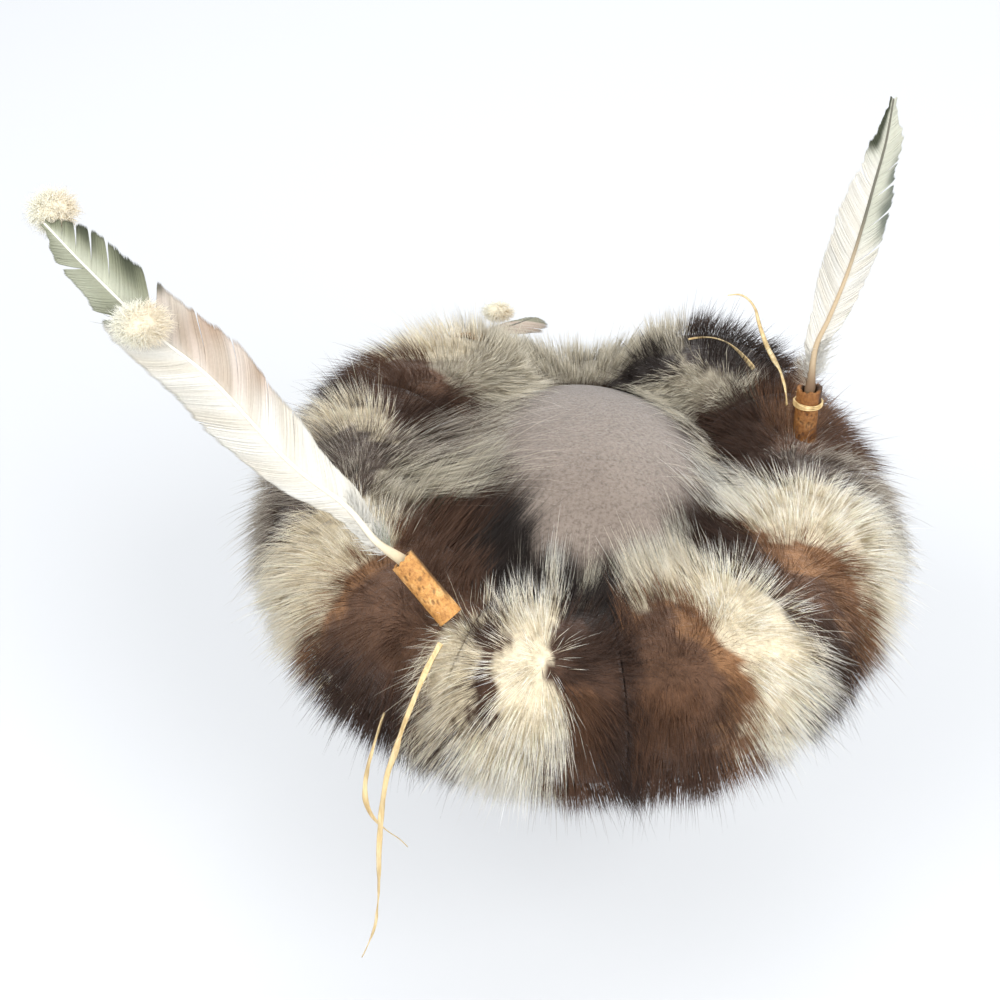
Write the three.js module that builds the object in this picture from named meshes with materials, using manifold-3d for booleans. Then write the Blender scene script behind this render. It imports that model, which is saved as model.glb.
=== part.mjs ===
// A feathered fur headdress: a felt crown inside a thick roll of striped fur, with three
// feathers that stand in short wooden tubes, tied on with raffia.
//
// Millimetres, +Z up. The origin is the centre of the crown's rim, where the crown sits on a
// head. The wearer looks along -Y, and +X is to the right of someone who faces the wearer's
// front from -Y. A bearing is an angle seen from above: 0 along +X, 90 along +Y at the back,
// -90 at the front.

import * as THREE from "three";
import { mergeVertices } from "three/addons/utils/BufferGeometryUtils.js";
import Module from "manifold-3d";

const wasm = await Module();
wasm.setup();

// ---------------------------------------------------------------- driving dimensions

const CROWN = {
  halfWidth: 84, // outside, at the rim
  halfDepth: 91,
  height: 99,
  wall: 2.5,
  sideHeight: 26, // the nearly upright part of the side, below the dome
  sides: 40,
  domeSteps: 7,
};

const ROLL = {
  middleX: 107, // centre line of the roll, an ellipse round the crown
  middleY: 105,
  middleZ: 38,
  halfWidth: 33, // of the roll's section, without its locks
  halfHeight: 40,
  lean: 30, // how far the inner top edge leans in over the dome
  sectionPoints: 12,
  stepsAlongLobe: 5,
  cleft: 0.13, // share of the section lost where two lobes meet
  clearOfCrown: 1.9,
  gapBetweenLobes: 0.6,
};

// The lobes of the roll, in order round it. rise lifts the lobe, girth scales its section,
// push moves it outward.
const LOBES = [
  { name: "fur_front_left", from: -117, to: -83, rise: -1, girth: 0.98, push: 3, tint: "cream" },
  { name: "fur_front", from: -83, to: -44, rise: -1, girth: 1.05, push: 3, tint: "dark" },
  { name: "fur_front_right", from: -44, to: -6, rise: 1, girth: 1.0, push: 1, tint: "cream" },
  { name: "fur_right", from: -6, to: 32, rise: 2, girth: 1.0, push: 0, tint: "brown" },
  { name: "fur_back_right", from: 32, to: 74, rise: 13, girth: 1.03, push: 1, tint: "dark" },
  { name: "fur_back", from: 74, to: 106, rise: -9, girth: 0.88, push: -3, tint: "brown" },
  { name: "fur_back_left", from: 106, to: 146, rise: 11, girth: 1.03, push: 0, tint: "grey" },
  { name: "fur_left", from: 146, to: 194, rise: 7, girth: 1.03, push: 1, tint: "dark" },
  { name: "fur_side_left", from: 194, to: 243, rise: 0, girth: 1.02, push: 0, tint: "brown" },
];

// Rows of locks round the section of the roll: turn is the angle round the section, 0 at the
// outermost line and 90 at the crest; sweep turns the lock from straight out towards the crown
// (+) or away from it (-); every is the spacing along the roll.
const LOCK_ROWS = [
  { turn: -50, sweep: -46, length: 21, root: 9, every: 28 },
  { turn: -8, sweep: -64, length: 26, root: 10, every: 28 },
  { turn: 34, sweep: -66, length: 28, root: 10, every: 28 },
  { turn: 74, sweep: -52, length: 23, root: 9, every: 28 },
  { turn: 112, sweep: 60, length: 24, root: 8, every: 27 },
];
const LOCK = { sides: 4, flat: 0.6, waist: 0.45, narrowing: 0.72, sunk: 4, bend: 0.25, clearOfTies: 10 };

const TUBE = {
  length: 31,
  radius: 5.6,
  bore: 3.4,
  swell: 1.02, // half way up
  sides: 14,
  clearance: 0.5, // kept round it by the fur
  holeRadius: 1.2, // drilled through the wall near its foot
  holeHeight: 4,
};

const LASHING = { ring: 6.1, thickness: 1.0, height: 2.8, from: 22.5 };

const FEATHER = {
  quillRadius: 2.5,
  tipRadius: 0.7,
  vaneThickness: 1.3,
  sunk: 24, // the length of quill inside the tube
  stations: 26,
};

const TIE = { halfWidth: 1.5, halfThickness: 0.7, sides: 8, step: 7 };

const TINTS = {
  cream: 0xd9cfb8,
  dark: 0x3a2a22,
  brown: 0x5b3d2a,
  grey: 0x8d8478,
};

const FEATHER_WHITE = 0xe9e5da;
const DOWN_CREAM = 0xefe6cc;
const WOOD = 0xa8753c;
const RAFFIA = 0xd6c08c;
const FELT = 0x96897f;

// Each feather stands in a tube from foot along aim. route runs from the mouth of the tube to
// the tip, and face is the side that the vane shows. shares of the route and half-widths of
// the vane on its two sides, in stations, give its outline. splits open the vane: at is the
// share where a split meets the shaft, reach its length, mouth its width at the edge, and
// slant how far it runs towards the tip. A lashed feather's tube has raffia wound round it.
const FEATHERS = [
  {
    name: "left",
    foot: [-56, -99, 80],
    aim: [-0.646, 0.49, 0.584],
    face: [0, -0.766, 0.643],
    route: [[-87, -78.6, 104.2], [-99.6, -69.3, 115.4], [-122.9, -57.7, 129.3], [-154.5, -36, 155],
      [-177.9, -23.9, 169.5], [-205.4, -6.8, 189.9], [-223.4, 5.3, 204.3]],
    stations: [
      { at: 0.0, upper: 2.5, lower: 2.5 },
      { at: 0.06, upper: 2.6, lower: 3.4 },
      { at: 0.16, upper: 8, lower: 7 },
      { at: 0.31, upper: 14.5, lower: 12 },
      { at: 0.45, upper: 17, lower: 17 },
      { at: 0.6, upper: 18.5, lower: 16 },
      { at: 0.76, upper: 16.5, lower: 13 },
      { at: 0.86, upper: 14.5, lower: 9 },
      { at: 0.94, upper: 12, lower: 6 },
      { at: 1.0, upper: 4, lower: 3 },
    ],
    splits: [
      { side: 1, at: 0.64, reach: 30, mouth: 5, slant: 0.75 },
      { side: -1, at: 0.74, reach: 20, mouth: 8, slant: 0.5 },
    ],
  },
  {
    name: "right",
    foot: [102.6, 28, 66],
    aim: [0.05, 0.261, 0.964],
    face: [0, -0.964, 0.261],
    route: [[105.6, 41.9, 113.9], [110.8, 45.6, 127.7], [117.5, 51, 147.7], [122.6, 56.5, 168.2],
      [126.8, 62, 188.3], [130.3, 66.6, 205.5], [132.3, 71.7, 224.1]],
    stations: [
      { at: 0.0, upper: 2.2, lower: 2.2 },
      { at: 0.1, upper: 2.6, lower: 3 },
      { at: 0.24, upper: 6, lower: 9 },
      { at: 0.42, upper: 9, lower: 12.5 },
      { at: 0.6, upper: 10.5, lower: 12.5 },
      { at: 0.76, upper: 8.5, lower: 9 },
      { at: 0.9, upper: 6, lower: 4.5 },
      { at: 1.0, upper: 1.5, lower: 1.5 },
    ],
    splits: [
      { side: 1, at: 0.46, reach: 13, mouth: 3, slant: 0.7 },
      { side: 1, at: 0.62, reach: 12, mouth: 3, slant: 0.7 },
    ],
    lashed: true,
  },
  {
    name: "back",
    foot: [-53, 100, 74],
    aim: [0.17, 0.83, -0.53],
    face: [0, 0.53, 0.85],
    route: [[-45.5, 131, 56.5], [-39, 150, 45.5], [-31.5, 173, 32], [-24.5, 196, 18.5], [-18, 217, 6.5]],
    stations: [
      { at: 0.0, upper: 2.2, lower: 2.2 },
      { at: 0.12, upper: 3, lower: 4 },
      { at: 0.3, upper: 12, lower: 14 },
      { at: 0.55, upper: 16, lower: 18 },
      { at: 0.8, upper: 14, lower: 15 },
      { at: 0.93, upper: 9, lower: 9 },
      { at: 1.0, upper: 2, lower: 2 },
    ],
    splits: [{ side: 1, at: 0.6, reach: 17, mouth: 4, slant: 0.6 }],
  },
];

// Puffs of down tied to the feathers: centre, half sizes, and the way the flat side faces.
const PUFFS = [
  { name: "down_left_tip", centre: [-221, 15, 203.5], half: [12, 11, 8], face: [0, -0.766, 0.643] },
  { name: "down_left_middle", centre: [-182, -28.5, 177], half: [14, 11, 6.5], face: [0, -0.766, 0.643] },
  { name: "down_back", centre: [-37, 165, 47], half: [9, 8, 6], face: [0, 0.53, 0.85] },
];
const PUFF = { round: 10, rings: 6, locks: 9, lockLength: 7, lockRoot: 3 };

// Raffia ends that hang or lie free, as points along each from the fur to its loose end.
const TIES = [
  {
    name: "raffia_left_long",
    route: [[-60, -114, 80], [-66, -122, 72], [-71, -128, 61.5], [-75.5, -132, 50], [-79, -134, 37.5],
      [-82.5, -134, 25], [-84.5, -134, 12.5], [-86, -134, 0], [-87, -133, -13], [-88, -132.5, -26],
      [-88.5, -131.5, -39], [-89, -131, -52], [-90, -130, -65], [-91.5, -129.5, -78], [-94.5, -128.5, -90.5],
      [-98.5, -128, -103]],
  },
  {
    name: "raffia_left_short",
    route: [[-84, -119, 45], [-86, -121.5, 40], [-87.5, -123.5, 34.5], [-89, -125, 29], [-90.5, -126, 23.5],
      [-91.5, -126, 18], [-92.5, -126, 12], [-93, -126, 6], [-93, -126, 0], [-92, -126, -6],
      [-90, -126, -11.5], [-87, -126, -16.5], [-83.5, -126, -21], [-79.5, -126, -25], [-76, -126, -30]],
  },
  {
    name: "raffia_right_long",
    route: [[94, 34, 88], [94, 39.5, 89.5], [94, 44.5, 90.5], [93.5, 50, 91], [92.5, 55.5, 92],
      [91, 60.5, 92.5], [89.5, 66, 93], [88, 71, 94], [87, 76, 95], [86, 81.5, 96], [85, 86.5, 98],
      [84, 91, 100.5], [81, 94.5, 103.5], [76.5, 96, 105.5], [71, 96, 105]],
  },
  {
    name: "raffia_right_short",
    route: [[81, 58, 90.5], [79.5, 60.4, 91.3], [78, 62.7, 92], [76.5, 64.9, 92.6], [75, 67, 93.2],
      [73.3, 69, 93.8], [71.5, 70.8, 94.3], [69.5, 72.4, 94.7], [67.3, 73.8, 94.9], [65, 75, 95],
      [62.5, 76, 94.9], [60, 76.7, 94.6], [57.3, 77.2, 94.2], [54.6, 77.5, 93.6], [52, 77.5, 93]],
  },
];

// ---------------------------------------------------------------- small helpers

const vector = (values) => new THREE.Vector3(...values);
const radians = THREE.MathUtils.degToRad;

/** A closed mesh as a solid that can be joined and cut. */
function toSolid(geometry) {
  const bare = geometry.clone();
  bare.deleteAttribute("normal");
  bare.deleteAttribute("uv");
  const merged = mergeVertices(bare, 1e-3);
  const mesh = new wasm.Mesh({
    numProp: 3,
    vertProperties: new Float32Array(merged.attributes.position.array),
    triVerts: new Uint32Array(merged.index.array),
  });
  return new wasm.Manifold(mesh);
}

function toGeometry(solid) {
  const mesh = solid.getMesh();
  const geometry = new THREE.BufferGeometry();
  geometry.setAttribute("position", new THREE.BufferAttribute(mesh.vertProperties, 3));
  geometry.setIndex(new THREE.BufferAttribute(mesh.triVerts, 1));
  geometry.computeVertexNormals();
  return geometry;
}

/** Joins loops of equally many points into a closed body. An end loop of one point is an apex. */
function loft(loops) {
  const size = Math.max(...loops.map((loop) => loop.length));
  const points = [];
  const faces = [];
  const starts = loops.map((loop) => {
    const start = points.length;
    points.push(...loop);
    return start;
  });
  const at = (row, k) => starts[row] + (loops[row].length === 1 ? 0 : k % size);
  for (let row = 0; row + 1 < loops.length; row++) {
    for (let k = 0; k < size; k++) {
      if (loops[row].length > 1) faces.push(at(row, k), at(row, k + 1), at(row + 1, k));
      if (loops[row + 1].length > 1) faces.push(at(row, k + 1), at(row + 1, k + 1), at(row + 1, k));
    }
  }
  const last = loops.length - 1;
  for (let k = 1; k + 1 < size; k++) {
    if (loops[0].length > 1) faces.push(at(0, 0), at(0, k + 1), at(0, k));
    if (loops[last].length > 1) faces.push(at(last, 0), at(last, k), at(last, k + 1));
  }
  const geometry = new THREE.BufferGeometry();
  const flat = points.flatMap((p) => [p.x, p.y, p.z]);
  geometry.setAttribute("position", new THREE.Float32BufferAttribute(flat, 3));
  geometry.setIndex(faces);
  return geometry;
}

/** Two unit vectors square to direction, the first as near as may be to hint. */
function crossAxes(direction, hint) {
  const along = direction.clone().normalize();
  const first = hint.clone().addScaledVector(along, -hint.dot(along)).normalize();
  const second = new THREE.Vector3().crossVectors(along, first);
  return [first, second];
}

/** A repeatable stream of numbers from 0 to 1. */
function numbers(seed) {
  let state = seed;
  return () => {
    state = (state * 16807) % 2147483647;
    return state / 2147483647;
  };
}

function node(name, geometry, color, roughness) {
  const material = new THREE.MeshStandardMaterial({ color, roughness, metalness: 0 });
  const mesh = new THREE.Mesh(geometry, material);
  mesh.name = name;
  return mesh;
}

// ---------------------------------------------------------------- felt crown

/** Share of the rim's half-width that the crown has at a height. */
function crownShare(z) {
  const taper = 1 - 0.03 * THREE.MathUtils.clamp(z / CROWN.sideHeight, 0, 1);
  const up = THREE.MathUtils.clamp((z - CROWN.sideHeight) / (CROWN.height - CROWN.sideHeight), 0, 1);
  return taper * Math.sqrt(1 - up * up);
}

/** Outside radius of the crown at a height and bearing. */
function crownRadius(z, bearing) {
  const x = Math.cos(bearing) / CROWN.halfWidth;
  const y = Math.sin(bearing) / CROWN.halfDepth;
  return crownShare(z) / Math.hypot(x, y);
}

function feltCrown() {
  const dome = CROWN.height - CROWN.sideHeight;
  const skin = (inset) => {
    const line = [];
    for (let i = 0; i <= CROWN.domeSteps; i++) {
      const turn = (Math.PI / 2) * (i / CROWN.domeSteps);
      const share = 0.97 * Math.sin(turn);
      const height = CROWN.sideHeight + (dome - inset) * Math.cos(turn);
      line.push(new THREE.Vector2(Math.max(0, share * (CROWN.halfWidth - inset)), height));
    }
    line[0].x = 0;
    line.push(new THREE.Vector2(CROWN.halfWidth - inset, 0));
    return line;
  };
  const profile = [...skin(0), ...skin(CROWN.wall).reverse()];
  const geometry = new THREE.LatheGeometry(profile.reverse(), CROWN.sides);
  geometry.rotateX(Math.PI / 2);
  const deeper = CROWN.halfDepth / CROWN.halfWidth;
  geometry.scale(1, deeper, 1);
  return toGeometry(toSolid(geometry));
}

// ---------------------------------------------------------------- fur roll

const middleOf = (lobe) => (lobe.from + lobe.to) / 2;

/** Rise, girth and push of the roll at a bearing in degrees, blended from lobe to lobe. */
function rollForm(bearing) {
  const ring = [];
  for (const turn of [-360, 0, 360]) {
    for (const lobe of LOBES) ring.push({ at: middleOf(lobe) + turn, lobe });
  }
  const after = ring.findIndex((entry) => entry.at > bearing);
  const [a, b] = [ring[after - 1], ring[after]];
  const t = THREE.MathUtils.smoothstep(bearing, a.at, b.at);
  const blend = (key) => THREE.MathUtils.lerp(a.lobe[key], b.lobe[key], t);
  return { rise: blend("rise"), girth: blend("girth"), push: blend("push") };
}

function rollMiddle(angle) {
  const x = Math.cos(angle) / ROLL.middleX;
  const y = Math.sin(angle) / ROLL.middleY;
  return 1 / Math.hypot(x, y);
}

/** A point on the roll's skin: bearing along the roll and turn round its section, in degrees. */
function rollPoint(bearing, turn, scale) {
  const form = rollForm(bearing);
  const angle = radians(bearing);
  const round = radians(turn);
  const inward = Math.max(0, Math.sin(round)) * (1 - Math.cos(round)) * 0.5;
  const size = form.girth * scale;
  const z = ROLL.middleZ + form.rise + ROLL.halfHeight * size * Math.sin(round);
  let r = rollMiddle(angle) + form.push + ROLL.halfWidth * size * Math.cos(round);
  r -= ROLL.lean * inward;
  r = Math.max(r, clearRadius(z, angle));
  return new THREE.Vector3(r * Math.cos(angle), r * Math.sin(angle), z);
}

/** The least radius at which the fur stays clear of the crown. */
function clearRadius(z, angle) {
  if (z > CROWN.height + ROLL.clearOfCrown) return 0;
  const lowered = Math.max(0, z - ROLL.clearOfCrown);
  return crownRadius(lowered, angle) + ROLL.clearOfCrown;
}

function outwardAt(bearing, turn) {
  const step = 1;
  const along = rollPoint(bearing + step, turn, 1).sub(rollPoint(bearing - step, turn, 1));
  const round = rollPoint(bearing, turn + step, 1).sub(rollPoint(bearing, turn - step, 1));
  return new THREE.Vector3().crossVectors(along, round).normalize();
}

/** Keeps a point of a lock inside its own lobe and clear of the crown. */
function keepInLobe(point, lobe) {
  const radius = Math.hypot(point.x, point.y);
  const edge = THREE.MathUtils.radToDeg(ROLL.gapBetweenLobes / 2 / radius);
  const middle = middleOf(lobe);
  let bearing = THREE.MathUtils.radToDeg(Math.atan2(point.y, point.x));
  bearing += 360 * Math.round((middle - bearing) / 360);
  bearing = THREE.MathUtils.clamp(bearing, lobe.from + edge, lobe.to - edge);
  const angle = radians(bearing);
  const clear = Math.max(radius, clearRadius(point.z, angle));
  return new THREE.Vector3(clear * Math.cos(angle), clear * Math.sin(angle), point.z);
}

/** One lock: a flat tuft that starts inside the lobe and bends with the lie of the fur. */
function lock(lobe, bearing, row, length, sway) {
  const root = rollPoint(bearing, row.turn, 1);
  const out = outwardAt(bearing, row.turn);
  const along = rollPoint(bearing + 1, row.turn, 1).sub(root).normalize();
  const round = new THREE.Vector3().crossVectors(out, along).normalize();
  if (round.dot(rollPoint(bearing, row.turn + 1, 1).sub(root)) < 0) round.negate();
  const aim = out.clone();
  const lean = radians(row.sweep);
  aim.multiplyScalar(Math.cos(lean)).addScaledVector(round, Math.sin(lean)).addScaledVector(along, sway);
  aim.normalize();
  const start = root.clone().addScaledVector(out, -LOCK.sunk);
  const waist = start.clone().addScaledVector(aim, length * LOCK.waist);
  const tipAim = aim.clone().addScaledVector(round, LOCK.bend * Math.sign(row.sweep)).normalize();
  const tip = waist.clone().addScaledVector(tipAim, length * (1 - LOCK.waist));
  const loop = (centre, radius) => {
    const [wide, thin] = crossAxes(aim, along);
    return Array.from({ length: LOCK.sides }, (_, k) => {
      const turn = (2 * Math.PI * k) / LOCK.sides;
      const point = centre.clone().addScaledVector(wide, radius * Math.cos(turn));
      return keepInLobe(point.addScaledVector(thin, radius * LOCK.flat * Math.sin(turn)), lobe);
    });
  };
  return loft([loop(start, row.root), loop(waist, row.root * LOCK.narrowing), [keepInLobe(tip, lobe)]]);
}

/** True if a lock there would reach a raffia end that lies on the fur. */
function meetsTie(lobe, bearing, row) {
  const root = rollPoint(bearing, row.turn, 1);
  const out = outwardAt(bearing, row.turn);
  const reach = [4, 12, 18].map((distance) => root.clone().addScaledVector(out, distance));
  return TIES.some((tie) => tie.route.some((stop) => {
    return reach.some((point) => point.distanceTo(vector(stop)) < LOCK.clearOfTies);
  }));
}

function furLobe(lobe, index) {
  const loops = [];
  for (let i = 0; i <= ROLL.stepsAlongLobe; i++) {
    const t = i / ROLL.stepsAlongLobe;
    const fromMiddle = Math.abs(2 * t - 1);
    const scale = 1 - ROLL.cleft * fromMiddle ** 3;
    const bearing = THREE.MathUtils.lerp(lobe.from, lobe.to, t);
    const loop = [];
    for (let k = 0; k < ROLL.sectionPoints; k++) {
      loop.push(keepInLobe(rollPoint(bearing, (360 * k) / ROLL.sectionPoints, scale), lobe));
    }
    loops.push(loop.reverse());
  }
  let solid = toSolid(loft(loops));
  const next = numbers(101 + 37 * index);
  for (const row of LOCK_ROWS) {
    const width = radians(lobe.to - lobe.from) * ROLL.middleX;
    const count = Math.max(2, Math.round(width / row.every));
    for (let i = 0; i < count; i++) {
      const share = (i + 0.5 + 0.3 * (next() - 0.5)) / count;
      const bearing = THREE.MathUtils.lerp(lobe.from, lobe.to, share);
      const length = row.length * (0.85 + 0.3 * next());
      const sway = 0.5 * (next() - 0.5);
      if (!meetsTie(lobe, bearing, row)) {
        solid = solid.add(toSolid(lock(lobe, bearing, row, length, sway)));
      }
    }
  }
  for (const feather of FEATHERS) {
    solid = solid.subtract(toSolid(tubeSpace(feather)));
  }
  return toGeometry(largestOf(solid));
}

/** The main body of a solid, without the tips of locks that a tube has cut off. */
function largestOf(solid) {
  return solid.decompose().reduce((most, body) => (body.volume() > most.volume() ? body : most));
}

// ---------------------------------------------------------------- tubes

/** Turns a geometry made along +Z so that it stands on a feather's foot along its aim. */
function standInPlace(geometry, feather) {
  const turn = new THREE.Quaternion();
  turn.setFromUnitVectors(new THREE.Vector3(0, 0, 1), vector(feather.aim).normalize());
  geometry.applyQuaternion(turn);
  geometry.translate(...feather.foot);
  return geometry;
}

/** The room that a tube and any lashing take up in the fur. */
function tubeSpace(feather) {
  const widest = feather.lashed ? LASHING.ring + LASHING.thickness : TUBE.radius * TUBE.swell;
  const radius = widest + TUBE.clearance;
  const room = new THREE.CylinderGeometry(radius, radius, TUBE.length + 2, TUBE.sides);
  room.rotateX(Math.PI / 2);
  room.translate(0, 0, TUBE.length / 2);
  return standInPlace(room, feather);
}

function woodTube(feather) {
  const { radius, bore, length, sides } = TUBE;
  const profile = [
    new THREE.Vector2(bore, 0),
    new THREE.Vector2(radius, 0),
    new THREE.Vector2(radius * TUBE.swell, length * 0.5),
    new THREE.Vector2(radius, length),
    new THREE.Vector2(bore, length),
    new THREE.Vector2(bore, 0),
  ];
  const wall = new THREE.LatheGeometry(profile, sides);
  wall.rotateX(Math.PI / 2);
  const hole = new THREE.CylinderGeometry(TUBE.holeRadius, TUBE.holeRadius, 2 * radius, 8);
  hole.translate(0, -radius, TUBE.holeHeight);
  const chip = new THREE.BoxGeometry(4, 6, 5);
  chip.rotateX(0.4);
  chip.translate(-radius, 0, length + 0.5);
  const solid = toSolid(wall).subtract(toSolid(hole)).subtract(toSolid(chip));
  return standInPlace(toGeometry(solid), feather);
}

/** The raffia wound round a tube, a little below its mouth. */
function lashing(feather) {
  const { ring, thickness, height, from } = LASHING;
  const profile = [
    new THREE.Vector2(ring, from),
    new THREE.Vector2(ring + thickness, from + 0.4),
    new THREE.Vector2(ring + thickness * 0.7, from + height / 2),
    new THREE.Vector2(ring + thickness, from + height - 0.4),
    new THREE.Vector2(ring, from + height),
    new THREE.Vector2(ring, from),
  ];
  const band = new THREE.LatheGeometry(profile, TUBE.sides);
  band.rotateX(Math.PI / 2);
  return standInPlace(toGeometry(toSolid(band)), feather);
}

// ---------------------------------------------------------------- feathers

/** The half-width of a vane at a share of its route. */
function vaneWidth(stations, at, side) {
  const after = stations.findIndex((station) => station.at >= at);
  if (after <= 0) return stations[0][side];
  const [a, b] = [stations[after - 1], stations[after]];
  const t = (at - a.at) / (b.at - a.at);
  const eased = t * t * (3 - 2 * t);
  return THREE.MathUtils.lerp(a[side], b[side], 0.5 * (t + eased));
}

function featherCurve(feather) {
  const aim = vector(feather.aim).normalize();
  const mouth = vector(feather.foot).addScaledVector(aim, TUBE.length);
  return new THREE.CatmullRomCurve3([mouth, ...feather.route.map(vector)], false, "centripetal");
}

/** The shaft's place, direction, side and face at a share of the route. */
function featherFrame(feather, curve, at) {
  const place = curve.getPointAt(at);
  const tangent = curve.getTangentAt(at);
  const [face, side] = crossAxes(tangent, vector(feather.face));
  return { place, tangent, face, side };
}

function featherLoop(frame, radius, upper, lower) {
  const flat = FEATHER.vaneThickness / 2;
  const point = (across, over) => {
    const camber = Math.abs(across) > radius * 1.2 ? -0.012 * across * across : 0;
    return frame.place.clone().addScaledVector(frame.side, across).addScaledVector(frame.face, over + camber);
  };
  const half = (width) => (width <= radius * 1.2 ? [0.707 * radius, 0.707 * radius] : [0.5 * width, flat]);
  const [upperMid, upperHigh] = half(upper);
  const [lowerMid, lowerHigh] = half(lower);
  return [
    point(upper, 0),
    point(upperMid, -upperHigh),
    point(0, -radius),
    point(-lowerMid, -lowerHigh),
    point(-lower, 0),
    point(-lowerMid, lowerHigh),
    point(0, radius),
    point(upperMid, upperHigh),
  ];
}

/** A wedge that opens the vane from its edge towards the shaft. */
function splitWedge(feather, curve, split) {
  const frame = featherFrame(feather, curve, split.at);
  const shape = new THREE.Shape();
  const start = FEATHER.quillRadius;
  shape.moveTo(start, split.slant * start);
  shape.lineTo(split.reach, split.slant * split.reach - split.mouth / 2);
  shape.lineTo(split.reach, split.slant * split.reach + split.mouth / 2);
  const wedge = new THREE.ExtrudeGeometry(shape, { depth: 24, bevelEnabled: false });
  wedge.translate(0, 0, -14);
  const basis = new THREE.Matrix4();
  const side = frame.side.clone().multiplyScalar(split.side);
  const face = new THREE.Vector3().crossVectors(side, frame.tangent);
  basis.makeBasis(side, frame.tangent, face).setPosition(frame.place);
  return wedge.applyMatrix4(basis);
}

function featherBody(feather) {
  const curve = featherCurve(feather);
  const aim = vector(feather.aim).normalize();
  const mouth = featherFrame(feather, curve, 0);
  const sunkEnd = { ...mouth, place: mouth.place.clone().addScaledVector(aim, -FEATHER.sunk) };
  const loops = [featherLoop(sunkEnd, FEATHER.quillRadius * 0.8, FEATHER.quillRadius * 0.8,
    FEATHER.quillRadius * 0.8)];
  for (let i = 0; i <= FEATHER.stations; i++) {
    const at = i / FEATHER.stations;
    const radius = THREE.MathUtils.lerp(FEATHER.quillRadius, FEATHER.tipRadius, at ** 0.7);
    const upper = Math.max(radius, vaneWidth(feather.stations, at, "upper"));
    const lower = Math.max(radius, vaneWidth(feather.stations, at, "lower"));
    loops.push(featherLoop(featherFrame(feather, curve, at), radius, upper, lower));
  }
  let solid = toSolid(loft(loops));
  for (const split of feather.splits) solid = solid.subtract(toSolid(splitWedge(feather, curve, split)));
  return toGeometry(solid);
}

// ---------------------------------------------------------------- down puffs

function downPuff(puff, index) {
  const body = new THREE.SphereGeometry(1, PUFF.round, PUFF.rings);
  body.scale(...puff.half);
  let solid = toSolid(body);
  const next = numbers(911 + 53 * index);
  for (let i = 0; i < PUFF.locks; i++) {
    const turn = (2 * Math.PI * (i + 0.5 * next())) / PUFF.locks;
    const tilt = 0.9 * (next() - 0.3);
    const out = new THREE.Vector3(Math.cos(turn), Math.sin(turn), tilt).normalize();
    const root = out.clone().multiply(vector(puff.half)).multiplyScalar(0.7);
    const [a, b] = crossAxes(out, new THREE.Vector3(0, 0, 1));
    const loop = Array.from({ length: 5 }, (_, k) => {
      const around = (2 * Math.PI * k) / 5;
      const point = root.clone().addScaledVector(a, PUFF.lockRoot * Math.cos(around));
      return point.addScaledVector(b, PUFF.lockRoot * Math.sin(around));
    });
    const tip = root.clone().addScaledVector(out, PUFF.lockLength * (0.8 + 0.4 * next()));
    solid = solid.add(toSolid(loft([loop, [tip]])));
  }
  const geometry = toGeometry(solid);
  const turn = new THREE.Quaternion();
  turn.setFromUnitVectors(new THREE.Vector3(0, 0, 1), vector(puff.face).normalize());
  geometry.applyQuaternion(turn);
  geometry.translate(...puff.centre);
  return geometry;
}

// ---------------------------------------------------------------- raffia ends

function raffiaEnd(tie) {
  const curve = new THREE.CatmullRomCurve3(tie.route.map(vector), false, "centripetal");
  const section = new THREE.Shape();
  for (let k = 0; k < TIE.sides; k++) {
    const turn = (2 * Math.PI * k) / TIE.sides;
    const x = TIE.halfThickness * Math.cos(turn);
    const y = TIE.halfWidth * Math.sin(turn);
    if (k === 0) section.moveTo(x, y);
    else section.lineTo(x, y);
  }
  section.closePath();
  const steps = Math.round(curve.getLength() / TIE.step);
  const strip = new THREE.ExtrudeGeometry(section, { steps, extrudePath: curve, bevelEnabled: false });
  return toGeometry(toSolid(strip));
}

// ---------------------------------------------------------------- the headdress

const headdress = new THREE.Group();
headdress.add(node("felt_crown", feltCrown(), FELT, 0.95));
LOBES.forEach((lobe, index) => headdress.add(node(lobe.name, furLobe(lobe, index), TINTS[lobe.tint], 0.9)));
for (const feather of FEATHERS) {
  headdress.add(node(`tube_${feather.name}`, woodTube(feather), WOOD, 0.7));
  if (feather.lashed) headdress.add(node(`lashing_${feather.name}`, lashing(feather), RAFFIA, 0.8));
  headdress.add(node(`feather_${feather.name}`, featherBody(feather), FEATHER_WHITE, 0.6));
}
PUFFS.forEach((puff, index) => headdress.add(node(puff.name, downPuff(puff, index), DOWN_CREAM, 0.95)));
for (const tie of TIES) headdress.add(node(tie.name, raffiaEnd(tie), RAFFIA, 0.8));

export default headdress;
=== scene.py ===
import math

import bpy
import numpy as np
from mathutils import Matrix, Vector


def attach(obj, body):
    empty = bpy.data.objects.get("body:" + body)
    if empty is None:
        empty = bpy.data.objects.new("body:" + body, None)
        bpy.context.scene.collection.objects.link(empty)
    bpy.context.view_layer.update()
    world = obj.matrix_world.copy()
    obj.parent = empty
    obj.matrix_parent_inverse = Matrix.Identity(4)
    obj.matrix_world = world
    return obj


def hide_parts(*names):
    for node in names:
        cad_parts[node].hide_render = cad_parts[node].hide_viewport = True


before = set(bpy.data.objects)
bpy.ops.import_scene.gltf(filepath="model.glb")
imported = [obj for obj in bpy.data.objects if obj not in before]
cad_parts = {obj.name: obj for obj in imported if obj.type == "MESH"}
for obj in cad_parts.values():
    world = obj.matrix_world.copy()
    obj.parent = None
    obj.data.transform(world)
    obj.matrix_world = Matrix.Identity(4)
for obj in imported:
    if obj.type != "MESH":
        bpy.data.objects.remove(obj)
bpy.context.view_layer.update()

# A feathered fur headdress: a felt dome in a thick roll of striped fur, with three feathers that
# stand in short wooden tubes. Shapes are worked out in millimetres and made in metres.

MM = 0.001
PI = math.pi
LITTLE = 1e-9


# ---- camera

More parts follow.
